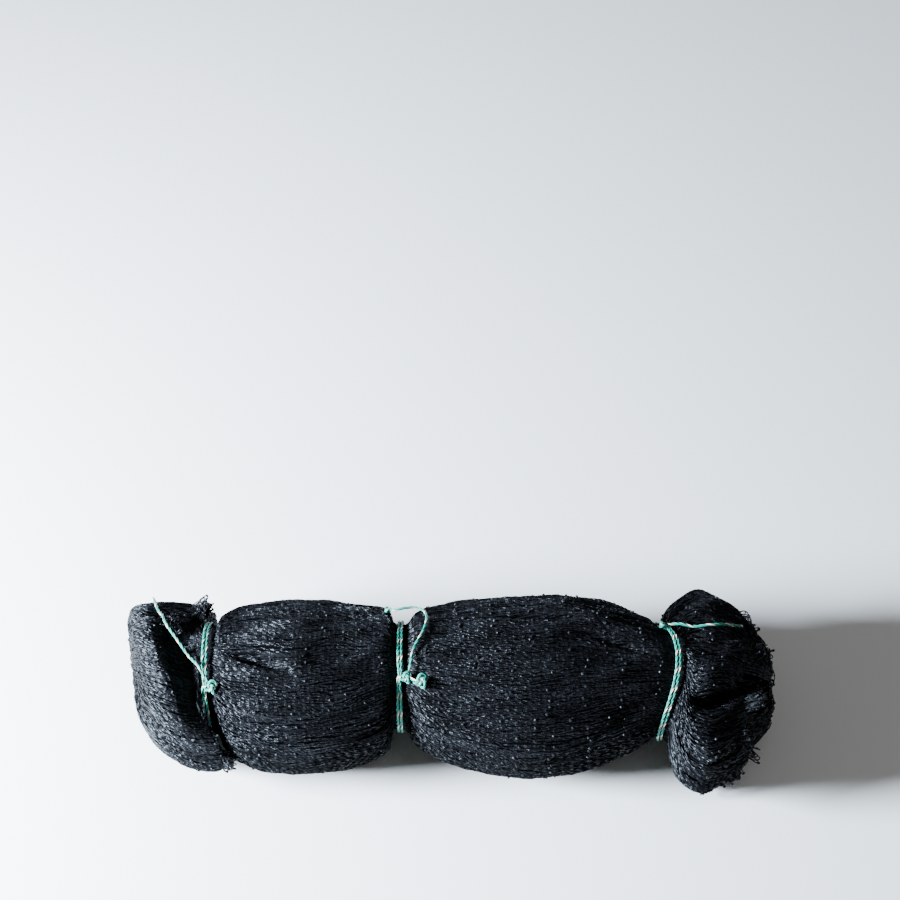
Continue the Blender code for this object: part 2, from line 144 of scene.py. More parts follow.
# count: pleats round the bundle, share: of the gather, turn and drift: in degrees
Pleat = namedtuple("Pleat", "count share turn drift")
PLEATS = [Pleat(5, 0.45, 20, 130), Pleat(9, 0.35, 75, -210), Pleat(14, 0.30, 140, 260)]

# Angles run round the bundle in degrees: 0 far side, 90 top, 180 near side.
# A negative depth is a roll
Fold = namedtuple("Fold", "first last from_angle to_angle spread depth")
FOLDS = [
    Fold(-0.318, -0.205, 88, 106, 7, 0.006),
    Fold(-0.314, -0.225, 76, 88, 9, -0.003),
    Fold(-0.312, -0.22, 104, 120, 9, -0.003),
    Fold(-0.44, -0.345, 56, 50, 8, 0.012),
    Fold(-0.435, -0.35, 82, 74, 8, 0.009),
    Fold(-0.44, -0.35, 70, 62, 7, -0.005),
    Fold(-0.43, -0.35, 30, 34, 10, -0.004),
    Fold(-0.43, -0.345, 212, 208, 8, 0.006),
    Fold(-0.394, -0.344, 116, 116, 40, 0.01),
    Fold(0.15, 0.3, 84, 92, 8, 0.005),
    Fold(0.11, 0.29, 62, 72, 10, -0.004),
    Fold(0.318, 0.45, 119, 113, 8, 0.017),
    Fold(0.325, 0.44, 100, 96, 11, -0.005),
    Fold(0.325, 0.43, 78, 72, 8, 0.007),
    Fold(0.33, 0.43, 46, 52, 14, -0.006),
    Fold(0.33, 0.44, 146, 142, 12, -0.005),
    Fold(0.33, 0.44, 178, 172, 8, 0.008),
    Fold(0.33, 0.44, 210, 205, 9, 0.006),
    Fold(0.33, 0.44, 15, 20, 9, 0.006),
]
print(len(SECTIONS), "sections,", len(PLEATS), "sets of pleats,", len(FOLDS), "folds")

# %% [markdown]
# ## A point on the net
#
# Everything on this bundle is placed by two numbers: a row, which is a place in the table, and an
# angle round the bundle. These functions turn them into a point. They take whole arrays at once,
# because hundreds of twines with a hundred points each would be slow one point at a time.


# %% From a row and an angle to a point
ROW_NUDGE = 0.05           # how far apart points are taken to find a direction, in rows
TURN_NUDGE = 0.7           # and in degrees


def curve_between(a, b, c, d, t):
    """A value on the smooth curve from b to c. a comes before them and d after."""
    return 0.5 * (2 * b + (c - a) * t + (2 * a - 5 * b + 4 * c - d) * t ** 2
                  + (3 * b - a - 3 * c + d) * t ** 3)


def fold_depth(x, angle, folds=FOLDS):
    depth = np.zeros_like(x)
    for fold in folds:
        along = np.clip((x - fold.first) / (fold.last - fold.first), 0.0, 1.0)
        line = fold.from_angle + (fold.to_angle - fold.from_angle) * along
        around = (angle - line) / fold.spread
        depth += fold.depth * np.sin(math.pi * along) * np.exp(-around * around)
    return depth


def net_points(rows, angles, folded=True):
    """The points of the net's surface at these rows and angles."""
    rows = np.atleast_1d(np.asarray(rows, dtype=float))
    angles = np.broadcast_to(np.asarray(angles, dtype=float), rows.shape)
    last = len(SECTIONS) - 1
    start = np.clip(np.floor(rows).astype(int), 0, last - 1)
    nearby = [SECTIONS[np.clip(start + k, 0, last)].T for k in (-1, 0, 1, 2)]
    s = Section(*curve_between(*nearby, rows - start))
    turn = np.radians(angles)
    swell = -fold_depth(s.x, angles % 360.0) if folded else np.zeros_like(s.x)
    for pleat in PLEATS:
        phase = pleat.count * turn + np.radians(pleat.turn + pleat.drift * s.x * pleat.count)
        swell = swell + s.gather * pleat.share * np.cos(phase)
    across = (s.half_width + swell) * np.cos(turn)
    up = (s.half_height + swell) * np.sin(turn)
    place_x = s.x + s.lean * across + s.tilt * up + s.bow * np.cos(turn) ** 2
    place_z = np.maximum(s.height + up, 0.0)
    return np.stack([place_x + SHIFT_X, s.side + across + SHIFT_Y, place_z], axis=1)


def net_normals(rows, angles):
    """The outward directions of the net's surface there."""
    last = len(SECTIONS) - 1.0
    ahead = net_points(np.minimum(rows + ROW_NUDGE, last), angles)
    behind = net_points(np.maximum(rows - ROW_NUDGE, 0.0), angles)
    around = net_points(rows, angles + TURN_NUDGE) - net_points(rows, angles - TURN_NUDGE)
    normals = np.cross(around, ahead - behind)
    lengths = np.linalg.norm(normals, axis=1, keepdims=True)
    return normals / np.maximum(lengths, 1e-12)


probe = np.array([22.0])
print("top of the widest lobe", net_points(probe, 90.0)[0].round(3),
      "outward", net_normals(probe, 90.0)[0].round(2))

# %% [markdown]
# ## The camera
#
# The camera comes early, because every later choice is judged through it. It stands in front of
# the bundle and looks down on it at 55 degrees from three metres away. A long lens keeps the two
# ends nearly the same size. The camera looks above the bundle, which puts it low in the picture.

# %% Set up the camera
FOCUS = Vector((SHIFT_X, SHIFT_Y, 0.092))
VIEW_ELEVATION = math.radians(55)
VIEW_DISTANCE = 3.02
LENS = 85.1
SENSOR = 36.0
PICTURE = 900
BUNDLE_PIXEL = (448, 686)

sight = Vector((0.0, math.cos(VIEW_ELEVATION), -math.sin(VIEW_ELEVATION)))
pixel_focal = LENS / SENSOR * PICTURE
pitch_up = math.atan((BUNDLE_PIXEL[1] - PICTURE / 2) / pixel_focal)
turn_right = math.atan((PICTURE / 2 - BUNDLE_PIXEL[0]) / pixel_focal)
camera = add_object("camera", bpy.data.cameras.new("camera"))
camera.data.lens = LENS
camera.data.sensor_width = SENSOR
camera.location = FOCUS - sight * VIEW_DISTANCE
camera.rotation_euler = (math.pi / 2 - VIEW_ELEVATION + pitch_up, 0.0, -turn_right)
bpy.context.scene.camera = camera
print("camera at", [round(v, 2) for v in camera.location])

# %% [markdown]
# ## The routes of the ties
#
# Each tie is a piece of twine that goes twice round a waist, is knotted, and leaves one loose end
# lying over the net. Its route is found before the twine is made: round the waist at a fixed
# height over the surface, then for the loose end through a few stops. The line is eased, and then
# lifted wherever it would sink into a fold.

# %% Where the ties run
TWINE = 0.004              # thickness of the tie twine
SEAT = 0.0017
CORD_AIR = 0.0018
WRAP_PITCH = 0.0045
WAIST_LAND = 0.015
CORD_STEP = 0.006
ROUTE_STEPS = 20
SETTLE_ROUNDS = 5
EASE = 0.25
EXIT_SAMPLES = 120
EXIT_AIR = 0.0007
EXIT_RIM = 8
ROW_HALVINGS = 40
END_RINGS = 3

Tie = namedtuple("Tie", "name row knot_angle knot_shift knot_lift knot_tilt knot_size")
TIES = [
    Tie("tie_left", 8.5, 130, 0.0104, 0.0122, 40, 0.0031),
    Tie("tie_middle", 17.5, 124, 0.0095, 0.0099, 30, 0.0026),
    Tie("tie_right", 28.5, 55, -0.0066, 0.0070, -20, 0.0024),
]
END_KNOT_X = -0.0380
END_KNOT_ANGLE = 123
END_KNOT_LIFT = 0.0078
END_KNOT_TILT = 20
END_KNOT_SIZE = 0.0033
KNOT_RISE_AND_FALL = 1.1   # how far a knot's line goes over and under, in knot sizes
LOBE_REACH = 3.0           # how far a knot's lobes reach from its middle, in knot sizes

# The stops of each loose end: x, angle and lift over the net
LOOSE_ENDS = {
    "tie_left": [
        (-0.338, 117, 0.013), (-0.346, 107, 0.0096), (-0.3575, 95, 0.007), (-0.3737, 84, 0.0046),
        (-0.393, 71, 0.0042), (-0.408, 53, 0.0042), (-0.419, 38, 0.0056), (-0.4235, 31, 0.0096),
    ],
    "tie_middle": [
        (-0.053, 113, 0.01), (-0.0515, 106, 0.0074), (-0.05, 98, 0.005), (-0.0428, 87, 0.0042),
        (-0.0338, 78, 0.004), (-0.0305, 68, 0.004), (-0.0335, 56, 0.005), (-0.043, 47, 0.011),
        (-0.056, 43, 0.021), (-0.07, 43, 0.023), (-0.081, 45, 0.011), (-0.086, 47, 0.006),
    ],
    "tie_right": [
        (0.317, 59, 0.011), (0.327, 64, 0.0084), (0.339, 70, 0.006), (0.357, 73, 0.0044),
        (0.382, 72, 0.0042), (0.413, 63, 0.005),
    ],
}


def net_point(row, angle, folded=True):
    return Vector(net_points([row], angle, folded)[0])


def net_row(x, angle):
    """The row whose surface point at this angle lies at x."""
    low, high = float(END_RINGS), float(len(SECTIONS) - 1 - END_RINGS)
    for _ in range(ROW_HALVINGS):
        middle = (low + high) / 2
        if net_point(middle, angle).x < x + SHIFT_X:
            low = middle
        else:
            high = middle
    return (low + high) / 2


def outward_at(row, angle):
    around = net_point(row, angle + 1.0, False) - net_point(row, angle - 1.0, False)
    outward = around.cross(Vector((1.0, 0.0, 0.0)))
    outward.x = 0.0
    return outward.normalized()


def off_net(row, angle, lift):
    """A point over the net. Twine bridges the creases, so they are left out here."""
    return net_point(row, angle, False) + outward_at(row, angle) * lift


def wrap_point(tie, along, angle):
    return off_net(tie.row + along / WAIST_LAND, angle, TWINE / 2 + SEAT)


def knot_points(count, size):
    """The line of a trefoil, which is an overhand knot whose ends have been joined."""
    points = []
    for k in range(count):
        t = 2 * math.pi * k / count
        points.append(Vector((math.cos(t) - 2 * math.cos(2 * t),
                              -math.sin(t) - 2 * math.sin(2 * t),
                              -KNOT_RISE_AND_FALL * math.sin(3 * t))) * size)
    return points


def place_knot(row, angle, along, lift, tilt):
    """A frame over the net at this place: Z outward, X along the bundle, then tilted."""
    seat = off_net(row, angle, lift) + Vector((along, 0.0, 0.0))
    outward = outward_at(row, angle)
    across = outward.cross(Vector((1.0, 0.0, 0.0))).normalized()
    axis = across.cross(outward)
    placed = Matrix.Translation(seat) @ Matrix((axis, across, outward)).transposed().to_4x4()
    placed = placed @ Matrix.Rotation(-math.radians(tilt), 4, "Y")
    if along < 0.0:
        placed = placed @ Matrix.Rotation(math.pi, 4, "Z")
    return placed


def tie_knot_frame(tie):
    return place_knot(tie.row, tie.knot_angle, tie.knot_shift, tie.knot_lift, tie.knot_tilt)


def crossing_line(tie):
    """From the turn further from the knot, over the nearer one, to the tip of the knot's lobe."""
    start = wrap_point(tie, -math.copysign(WRAP_PITCH / 2, tie.knot_shift), tie.knot_angle)
    return [start, tie_knot_frame(tie) @ Vector((-LOBE_REACH * tie.knot_size, 0.0, 0.0))]


def knot_exit(tie, toward):
    """Where a loose end leaves its knot: on the way from a point outside it to its middle."""
    placed = tie_knot_frame(tie)
    tied = [placed @ place for place in knot_points(EXIT_SAMPLES, tie.knot_size)]
    for along in (-WRAP_PITCH / 2, WRAP_PITCH / 2):
        tied += [wrap_point(tie, along, 90.0 * k / EXIT_SAMPLES) for k in range(4 * EXIT_SAMPLES)]
    spin = (toward - placed.translation).to_track_quat("Z", "Y").to_matrix()
    rim = [spin @ Matrix.Rotation(2 * math.pi * k / EXIT_RIM, 3, "Z") @ Vector((TWINE / 2, 0, 0))
           for k in range(EXIT_RIM)]
    place = toward
    for step in range(EXIT_SAMPLES):
        nearer = toward.lerp(placed.translation, step / EXIT_SAMPLES)
        gap = min((nearer + offset - other).length for offset in rim for other in tied)
        if gap - TWINE / 2 < EXIT_AIR:
            break
        place = nearer
    return place


def settle(points, net_tree):
    """Eases the sharpest bends, and lifts the twine clear of the folds under it."""
    for _ in range(SETTLE_ROUNDS):
        eased = [here.lerp((before + after) / 2, EASE)
                 for before, here, after in zip(points, points[1:], points[2:])]
        points = [points[0], *eased, points[-1]]
        for i, place in enumerate(points):
            nearest, normal, _, distance = net_tree.find_nearest(place)
            inside = (place - nearest).dot(normal) < 0.0
            needed = TWINE / 2 + CORD_AIR
            if inside or distance < needed:
                points[i] = nearest + normal * needed
    return points


def evenly(points, step):
    """The same line with its points a steady step apart."""
    travelled = [0.0]
    for a, b in zip(points, points[1:]):
        travelled.append(travelled[-1] + (b - a).length)
    count = max(int(round(travelled[-1] / step)), 2)
    places = np.linspace(0.0, travelled[-1], count + 1)
    columns = [np.interp(places, travelled, [p[i] for p in points]) for i in range(3)]
    return [Vector(place) for place in zip(*columns)]


def loose_route(tie, net_tree):
    """The line of a tie's loose end, from its knot to its tip."""
    fixed = [off_net(net_row(x, angle), angle, lift) for x, angle, lift in LOOSE_ENDS[tie.name]]
    fixed.insert(0, knot_exit(tie, fixed[0]))
    fine = []
    for i in range(len(fixed) - 1):
        nearby = [fixed[min(max(i + k, 0), len(fixed) - 1)] for k in (-1, 0, 1, 2)]
        fine += [curve_between(*nearby, k / ROUTE_STEPS) for k in range(ROUTE_STEPS)]
    fine.append(fixed[-1])
    return settle(evenly(fine, CORD_STEP), net_tree)


def route_length(points):
    return sum((b - a).length for a, b in zip(points, points[1:]))


solid_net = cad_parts["net_bundle"]
welded = bmesh.new()
welded.from_mesh(solid_net.data)
bmesh.ops.remove_doubles(welded, verts=welded.verts, dist=1e-6)
bmesh.ops.recalc_face_normals(welded, faces=welded.faces)
net_tree = BVHTree.FromBMesh(welded)
welded.free()
routes = {tie.name: loose_route(tie, net_tree) for tie in TIES}
for name, route in routes.items():
    print(name, "loose end", round(route_length(route) * 1000, 1), "mm,", len(route), "points")

# %% [markdown]
# ## Helpers for node trees
#
# Materials and repeated shapes are both made of nodes. A few short functions keep their trees easy
# to read. One starts a node group with named inputs. One adds a node, and gives each of its inputs
# either a value or a link. The last ones add common nodes and hand back what comes out of them.


# %% Node helpers
def node_group(name, kind, inputs, outputs):
    """An empty node group. Each input or output is (name, kind, default)."""
    tree = bpy.data.node_groups.new(name, kind)
    for direction, sockets in (("INPUT", inputs), ("OUTPUT", outputs)):
        for label, holds, default in sockets:
            socket = tree.interface.new_socket(
                label, in_out=direction, socket_type="NodeSocket" + holds)
            if default is not None:
                socket.default_value = default
    given, result = (tree.nodes.new("NodeGroup" + end) for end in ("Input", "Output"))
    return tree, given.outputs, result.inputs


def add_node(tree, kind, given, **settings):
    """A new node. given has a value, a socket or a list of sockets for each input it names."""
    node = tree.nodes.new(kind)
    for label, value in settings.items():
        setattr(node, label, value)
    for label, value in given.items():
        if isinstance(value, (list, bpy.types.NodeSocket)):
            for source in value if isinstance(value, list) else [value]:
                tree.links.new(source, node.inputs[label])
        else:
            node.inputs[label].default_value = value
    return node


def output_of(tree, kind, given, **settings):
    """The first output of a new node."""
    return add_node(tree, kind, given, **settings).outputs[0]


def calculate(tree, operation, *values):
    return output_of(tree, "ShaderNodeMath", dict(enumerate(values)), operation=operation)


def mix_colors(tree, factor, first, second):
    given = {"Factor": factor, 6: first, 7: second}
    return add_node(tree, "ShaderNodeMix", given, data_type="RGBA").outputs[2]


def attribute(tree, name, output):
    return add_node(tree, "ShaderNodeAttribute", {}, attribute_name=name).outputs[output]


print("node helpers ready, Blender", bpy.app.version_string)

# %% [markdown]
# ## Node groups for the finishes
#
# Two effects are shared by several materials, so each is a shader node group. One gives every
# twine its own tone, which differs at random, with small patches along it painted paler or darker:
# painted glints where the filaments catch more or less light. The other draws the fine filaments
# that a twine is twisted from, as a bump.


# %% Shader groups
PATCH_SHARE = 0.70         # how much of a twine's shade its patches decide
TONE_SHARE = 0.5           # and how much its own tone
TONE_SHIFT = -0.15


def twine_shade_group():
    tree, given, result = node_group(
        "twine_shade", "ShaderNodeTree",
        [("Tone", "Float", 0.5), ("Place", "Vector", None), ("Patch Size", "Float", 90.0),
         ("Dark", "Color", (0, 0, 0, 1)), ("Light", "Color", (1, 1, 1, 1))],
        [("Color", "Color", None)])
    noise = output_of(tree, "ShaderNodeTexNoise", {
        "Detail": 3.0, "Roughness": 0.6, "Vector": given["Place"], "Scale": given["Patch Size"]})
    # the patches are painted glints: paler where the filaments would catch the light
    patches = output_of(tree, "ShaderNodeMapRange", {
        "From Min": 0.35, "From Max": 0.65, "Value": noise})
    own_tone = calculate(tree, "MULTIPLY_ADD", given["Tone"], TONE_SHARE, TONE_SHIFT)
    both = output_of(tree, "ShaderNodeMath", {0: patches, 1: PATCH_SHARE, 2: own_tone},
                     operation="MULTIPLY_ADD", use_clamp=True)
    tree.links.new(mix_colors(tree, both, given["Dark"], given["Light"]), result["Color"])
    return tree


def filament_group():
    tree, given, result = node_group(
        "filaments", "ShaderNodeTree",
        [("Place", "Vector", None), ("Fineness", "Float", 6.0)], [("Height", "Float", None)])
    noise = output_of(tree, "ShaderNodeTexNoise", {
        "Detail": 2.0, "Vector": given["Place"], "Scale": given["Fineness"]})
    tree.links.new(noise, result["Height"])
    return tree


TWINE_SHADE = twine_shade_group()
FILAMENTS = filament_group()
print("shader groups:", TWINE_SHADE.name, "and", FILAMENTS.name)

# %% [markdown]
# ## Black net twine
#
# The net twine is black nylon. It is never pure black: the twisted filaments are smooth, so each
# one throws back a thin bluish glint where it faces the light. A nearly black base colour, a
# moderate roughness and a weak bluish reflection give those glints, and the shade group keeps one
# twine from looking like the next.


# %% Net materials
def shader_material(name, roughness, specular, color=None):
    mat = bpy.data.materials.new(name)
    mat.use_nodes = True
    shader = mat.node_tree.nodes["Principled BSDF"].inputs
    shader["Roughness"].default_value = roughness
    shader["Specular IOR Level"].default_value = specular
    if color:
        shader["Base Color"].default_value = (*color, 1.0)
    return mat, mat.node_tree, shader


def dress_twine(tree, shader, color, place, fineness, strength, distance):
    """Gives a twine its colour, and its filaments as a bump."""
    tree.links.new(color, shader["Base Color"])
    height = output_of(tree, "ShaderNodeGroup", {"Fineness": fineness, "Place": place},
                       node_tree=FILAMENTS)
    bumped = output_of(tree, "ShaderNodeBump", {
        "Strength": strength, "Distance": distance, "Height": height})
    tree.links.new(bumped, shader["Normal"])


def net_twine_material(name, dark, light, roughness, specular):
    mat, tree, shader = shader_material(name, roughness, specular)
    shader["Specular Tint"].default_value = (0.80, 0.90, 1.0, 1.0)
    place = tree.nodes.new("ShaderNodeTexCoord").outputs["Object"]
    # tone: random for each twine, plus painted shade near the left end and a painted highlight on
    # knots
    color = output_of(tree, "ShaderNodeGroup", {
        "Dark": (*dark, 1.0), "Light": (*light, 1.0), "Patch Size": 380.0, "Place": place,
        "Tone": attribute(tree, "tone", "Fac")}, node_tree=TWINE_SHADE)
    dress_twine(tree, shader, color, place, fineness=420.0, strength=0.7, distance=0.0012)
    return mat


NET_TWINE = net_twine_material(
    "black_net_twine", (0.0004, 0.0004, 0.0005), (0.0085, 0.0088, 0.0112), 0.42, 0.20)
INNER_TWINE = net_twine_material(
    "shaded_net_twine", (0.0003, 0.0003, 0.0004), (0.0090, 0.0092, 0.0112), 0.50, 0.16)
# painted shade: the core is near black, darker than the twines it stands for
CORE_PAINTED_SHADE = shader_material("painted_shade_inside", 0.9, 0.02, (0.001, 0.001, 0.0015))[0]
print("net materials:", NET_TWINE.name, "and", INNER_TWINE.name)

# %% [markdown]
# ## A node tree that turns lines into twine
#
# Every twine starts as a plain line of edges. A Geometry Nodes tree gives it a round body with a
# slow twist, and puts a small lumpy knot on each loose point. With only three sides a twisted twine
# shows flat facets that catch the light one after another, which is how real twine glitters.


# %% The net twine tree
def geometry_tree(name, inputs):
    geometry, material = ("Geometry", "Geometry", None), ("Material", "Material", None)
    return node_group(name, "GeometryNodeTree", [geometry, *inputs, material], [geometry])


def value_of(tree, name):
    node = add_node(tree, "GeometryNodeInputNamedAttribute", {"Name": name}, data_type="FLOAT")
    return node.outputs["Attribute"]


def random_vector(tree, seed, low, high):
    given = {"Min": (low,) * 3, "Max": (high,) * 3, "Seed": seed}
    return output_of(tree, "FunctionNodeRandomValue", given, data_type="FLOAT_VECTOR")


def paint(tree, geometry, given, result):
    """Gives the geometry its material and makes it what the tree puts out."""
    painted = output_of(tree, "GeometryNodeSetMaterial", {
        "Geometry": geometry, "Material": given["Material"]})
    tree.links.new(painted, result["Geometry"])


def net_twine_tree():
    tree, given, result = geometry_tree("net_twine", [
        ("Thickness", "Float", 0.0016), ("Sides", "Int", 3), ("Turns a Metre", "Float", 25.0),
        ("Knot Size", "Float", 0.004), ("Seed", "Int", 7)])
    add, calc = partial(output_of, tree), partial(calculate, tree)
    is_knot = calc("GREATER_THAN", value_of(tree, "knot"), 0.5)
    split = add_node(tree, "GeometryNodeSeparateGeometry", {
        "Geometry": given["Geometry"], "Selection": is_knot}).outputs

    line = add("GeometryNodeMeshToCurve", {"Mesh": split["Inverted"]})
    length = tree.nodes.new("GeometryNodeSplineParameter").outputs["Length"]
    radians = calc("MULTIPLY", calc("MULTIPLY", length, given["Turns a Metre"]), 2 * math.pi)
    turned = add("GeometryNodeSetCurveTilt", {
        "Curve": line, "Tilt": calc("ADD", radians, value_of(tree, "start_turn"))})
    section = add("GeometryNodeCurvePrimitiveCircle", {
        "Resolution": given["Sides"], "Radius": calc("MULTIPLY", given["Thickness"], 0.5)})
    body = add("GeometryNodeCurveToMesh", {
        "Curve": turned, "Profile Curve": section, "Fill Caps": True})
    facets = add("GeometryNodeSetShadeSmooth", {"Geometry": body, "Shade Smooth": False})

    ball = add("GeometryNodeMeshIcoSphere", {
        "Subdivisions": 1, "Radius": calc("MULTIPLY", given["Knot Size"], 0.5)})
    knots = add("GeometryNodeInstanceOnPoints", {
        "Points": split["Selection"], "Instance": ball,
        "Rotation": random_vector(tree, given["Seed"], 0.0, 2 * math.pi),
        "Scale": random_vector(tree, given["Seed"], 0.7, 1.25)})
    real = add("GeometryNodeRealizeInstances", {"Geometry": knots})
    paint(tree, add("GeometryNodeJoinGeometry", {"Geometry": [facets, real]}), given, result)
    return tree


def run_tree(name, mesh, tree, values):
    """A new object: the mesh as the node tree makes it with these inputs, and no modifier left."""
    source = add_object(name + "_lines", mesh)
    modifier = source.modifiers.new("tree", "NODES")
    modifier.node_group = tree
    sockets = {s.name: s.identifier for s in tree.interface.items_tree if s.in_out == "INPUT"}
    for label, value in values.items():
        modifier[sockets[label]] = value
    evaluated = source.evaluated_get(bpy.context.evaluated_depsgraph_get())
    made = bpy.data.meshes.new_from_object(evaluated)
    bpy.data.objects.remove(source)
    bpy.data.meshes.remove(mesh)
    made.name = name
    return add_object(name, made)


def triangles(piece):
    return sum(len(face.vertices) - 2 for face in piece.data.polygons)


def as_root_piece(piece, slot, *nodes):
    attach(piece, "root")
    if nodes:
        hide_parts(*nodes)
    print(piece.name, triangles(piece), "triangles")
    return piece


NET_TREE = net_twine_tree()
print("net twine tree has", len(NET_TREE.nodes), "nodes")

# %% [markdown]
# ## Measuring along and round the bundle
#
# To lay twines evenly, places are measured in metres: `travel` runs along the surface from the left
# end to the right end, and `girth` runs round the widest lobe. Each is turned into a row or an
# angle by a table, because the surface is a free shape with no formula for its length.

# %% Travel and girth tables
ROW_PARTS = 20             # entries of the travel table for each row of sections
TABLE_ROWS = np.linspace(0.0, len(SECTIONS) - 1.0, (len(SECTIONS) - 1) * ROW_PARTS + 1)
TRAVEL_ANGLES = np.arange(0.0, 360.0, 15.0)
WIDEST_ROW = 23.0
GIRTH_ANGLES = np.linspace(0.0, 360.0, 721)


def step_lengths(points):
    return np.linalg.norm(np.diff(points, axis=0), axis=1)


steps = [step_lengths(net_points(TABLE_ROWS, angle, False)) for angle in TRAVEL_ANGLES]
TRAVEL = np.concatenate([[0.0], np.cumsum(np.mean(steps, axis=0))])
ring = net_points(np.full(len(GIRTH_ANGLES), WIDEST_ROW), GIRTH_ANGLES, False)
GIRTH = np.concatenate([[0.0], np.cumsum(step_lengths(ring))])
AROUND = GIRTH[-1]


def travel_of(row):
    return float(np.interp(row, TABLE_ROWS, TRAVEL))


def angles_at(girth):
    return np.interp(girth % AROUND, GIRTH, GIRTH_ANGLES)


WAISTS = [travel_of(row) for row in WAIST_ROWS]
print("travel", round(TRAVEL[-1], 3), "m, girth", round(AROUND, 3), "m, waists at",
      [round(w, 3) for w in WAISTS])

# %% [markdown]
# ## How the twines of a gathered net run
#
# When a net is pulled together, its meshes close and the twines lie nearly parallel. They bunch
# into locks, as wet hair does. Inside a lock, neighbouring twines meet at a knot after each bar of
# the mesh and then part again, so each twine zigzags a little. One set of random tables, with a
# fixed seed, decides how each lock and twine wanders.

# %% Locks of twine
MESH_BAR = 0.050
NET_TWINE_SIZE = 0.0016
Layer = namedtuple("Layer", "locks twines pitch depth arch step seed")
OUTER = Layer(44, 10, 0.0019, -0.0003, 0.0009, 0.0064, 11)
INNER = Layer(30, 9, 0.0028, -0.0034, 0.0008, 0.0120, 12)

# How far each random table moves a twine, in metres
SWAY = {"lock_side": 0.0070, "side": 0.0020, "drift": 0.0022, "depth": 0.0004,
        "lock_depth": 0.0011, "up": 0.0012, "twine_depth": 0.0006}
# How far apart along the net the values of a wandering table are, in metres
STRIDES = {"lock_side": 0.060, "lock_depth": 0.045, "lock_width": 0.070,
           "side": 0.0110, "drift": 0.0330, "up": 0.0150}
LOCK_JITTER = 0.25         # how far a lock sits from its even place, in locks
WIDTH_CHANGE = 0.25        # how much wider or narrower than its pitch a lock gets
SIDE_REACH = 2             # how many locks on each side lean the same way
SIDE_GAIN = 2.0            # makes up for what the blending of these locks takes away
GRIP_FLAT = 0.007          # half the width over which a tie holds the net fully
GRIP_FADE = 0.020
GRIP_DEPTH = -0.0016       # how deep the twines lie under a tie
GRIP_LAYER = 0.35          # what is left there of a layer's own depth
GRIP_HEIGHT = 0.2          # what is left there of a twine's own height


def ease(part):
    """A smooth step from 0 to 1."""
    return part * part * (3.0 - 2.0 * part)


def bump(distance, reach):
    """1 at distance 0, easing to 0 at the reach."""
    return ease(np.clip(1.0 - np.abs(distance) / reach, 0.0, 1.0))


def wander(tables, label, who, travel):
    """A smooth random value between -1 and 1 for each twine or lock at each place."""
    place = travel / STRIDES[label]
    cell = np.floor(place).astype(int)
    part = ease(place - cell)
    return tables[label][who, cell] * (1.0 - part) + tables[label][who, cell + 1] * part


def lock_tables(layer):
    rng = np.random.default_rng(layer.seed)
    count = layer.locks * layer.twines
    spacing = AROUND / layer.locks
    jitter = rng.uniform(-LOCK_JITTER, LOCK_JITTER, layer.locks)
    tables = {
        "girth": (np.arange(layer.locks) + jitter) * spacing,
        "depth": rng.uniform(-1.0, 1.0, layer.locks),
        "tone": rng.uniform(0.0, 1.0, layer.locks),
        "twine_tone": rng.uniform(0.0, 1.0, count),
        "twine_depth": rng.uniform(-1.0, 1.0, count),
    }
    for label, stride in STRIDES.items():
        rows = layer.locks if label.startswith("lock") else count
        tables[label] = rng.uniform(-1.0, 1.0, (rows, int(TRAVEL[-1] / stride) + 3))
    near = range(-SIDE_REACH, SIDE_REACH + 1)
    blended = sum(np.roll(tables["lock_side"], k, axis=0) for k in near)
    tables["lock_side"] = SIDE_GAIN * blended / len(near)
    tables["rng"] = rng
    return tables


def waist_grip(travel):
    """How firmly a tie holds the net there: 1 under a tie, 0 well away from all of them."""
    away = [np.maximum(np.abs(travel - waist) - GRIP_FLAT, 0.0) for waist in WAISTS]
    return np.max([bump(distance, GRIP_FADE) for distance in away], axis=0)


def twine_places(layer, tables, lock, index, travel, phase):
    """Girth and height over the surface of these twines at these places."""
    twine = lock * layer.twines + index
    middle = (layer.twines - 1) / 2
    bar = (travel - phase) / MESH_BAR
    row = np.floor(bar).astype(int)
    part = bar - row
    meet = np.where((index + row) % 2 == 0, 1.0, -1.0) * (1.0 - 2.0 * part) * 0.5
    free = np.sin(math.pi * part)
    spread = 1.0 + WIDTH_CHANGE * wander(tables, "lock_width", lock, travel)
    girth = tables["girth"][lock] + SWAY["lock_side"] * wander(tables, "lock_side", lock, travel)
    girth = girth + (index - middle + meet) * layer.pitch * spread
    girth = girth + SWAY["side"] * free * wander(tables, "side", twine, travel)
    girth = girth + SWAY["drift"] * wander(tables, "drift", twine, travel)
    height = layer.depth - layer.arch * ((index - middle) / middle) ** 2
    height = height + SWAY["depth"] * tables["depth"][lock]
    height = height + SWAY["lock_depth"] * wander(tables, "lock_depth", lock, travel)
    height = height + SWAY["up"] * free * wander(tables, "up", twine, travel)
    height = height + SWAY["twine_depth"] * tables["twine_depth"][twine]
    grip = waist_grip(travel)
    gripped = GRIP_DEPTH + GRIP_LAYER * layer.depth + GRIP_HEIGHT * height
    return girth, height * (1.0 - grip) + gripped * grip


print(OUTER.locks * OUTER.twines, "outer and", INNER.locks * INNER.twines, "inner twines")

# %% [markdown]
# ## Keeping clear of the ties
#
# The net must pass under its ties and never through them. All the tie routes are put in a tree that
# finds the nearest point fast, and any twine that comes too close is pressed down beneath it. The
# same step keeps the twines above the floor and sinks them into creases that the solid lacks.

# %% Press the net under the ties
GUARD_AIR = 0.0003
GUARD_TURN = 0.75          # spacing of the guard points round a tie, in degrees
GUARD_STEP = 0.001         # and along a loose end, in metres
GUARD_KNOT_POINTS = 80
GUARD_REACH = 0.006        # twines further than this from a tie are left alone
FLOOR_AIR = 0.0003
POLE_ROWS = 0.15           # how far the twines stay from the very ends of the table

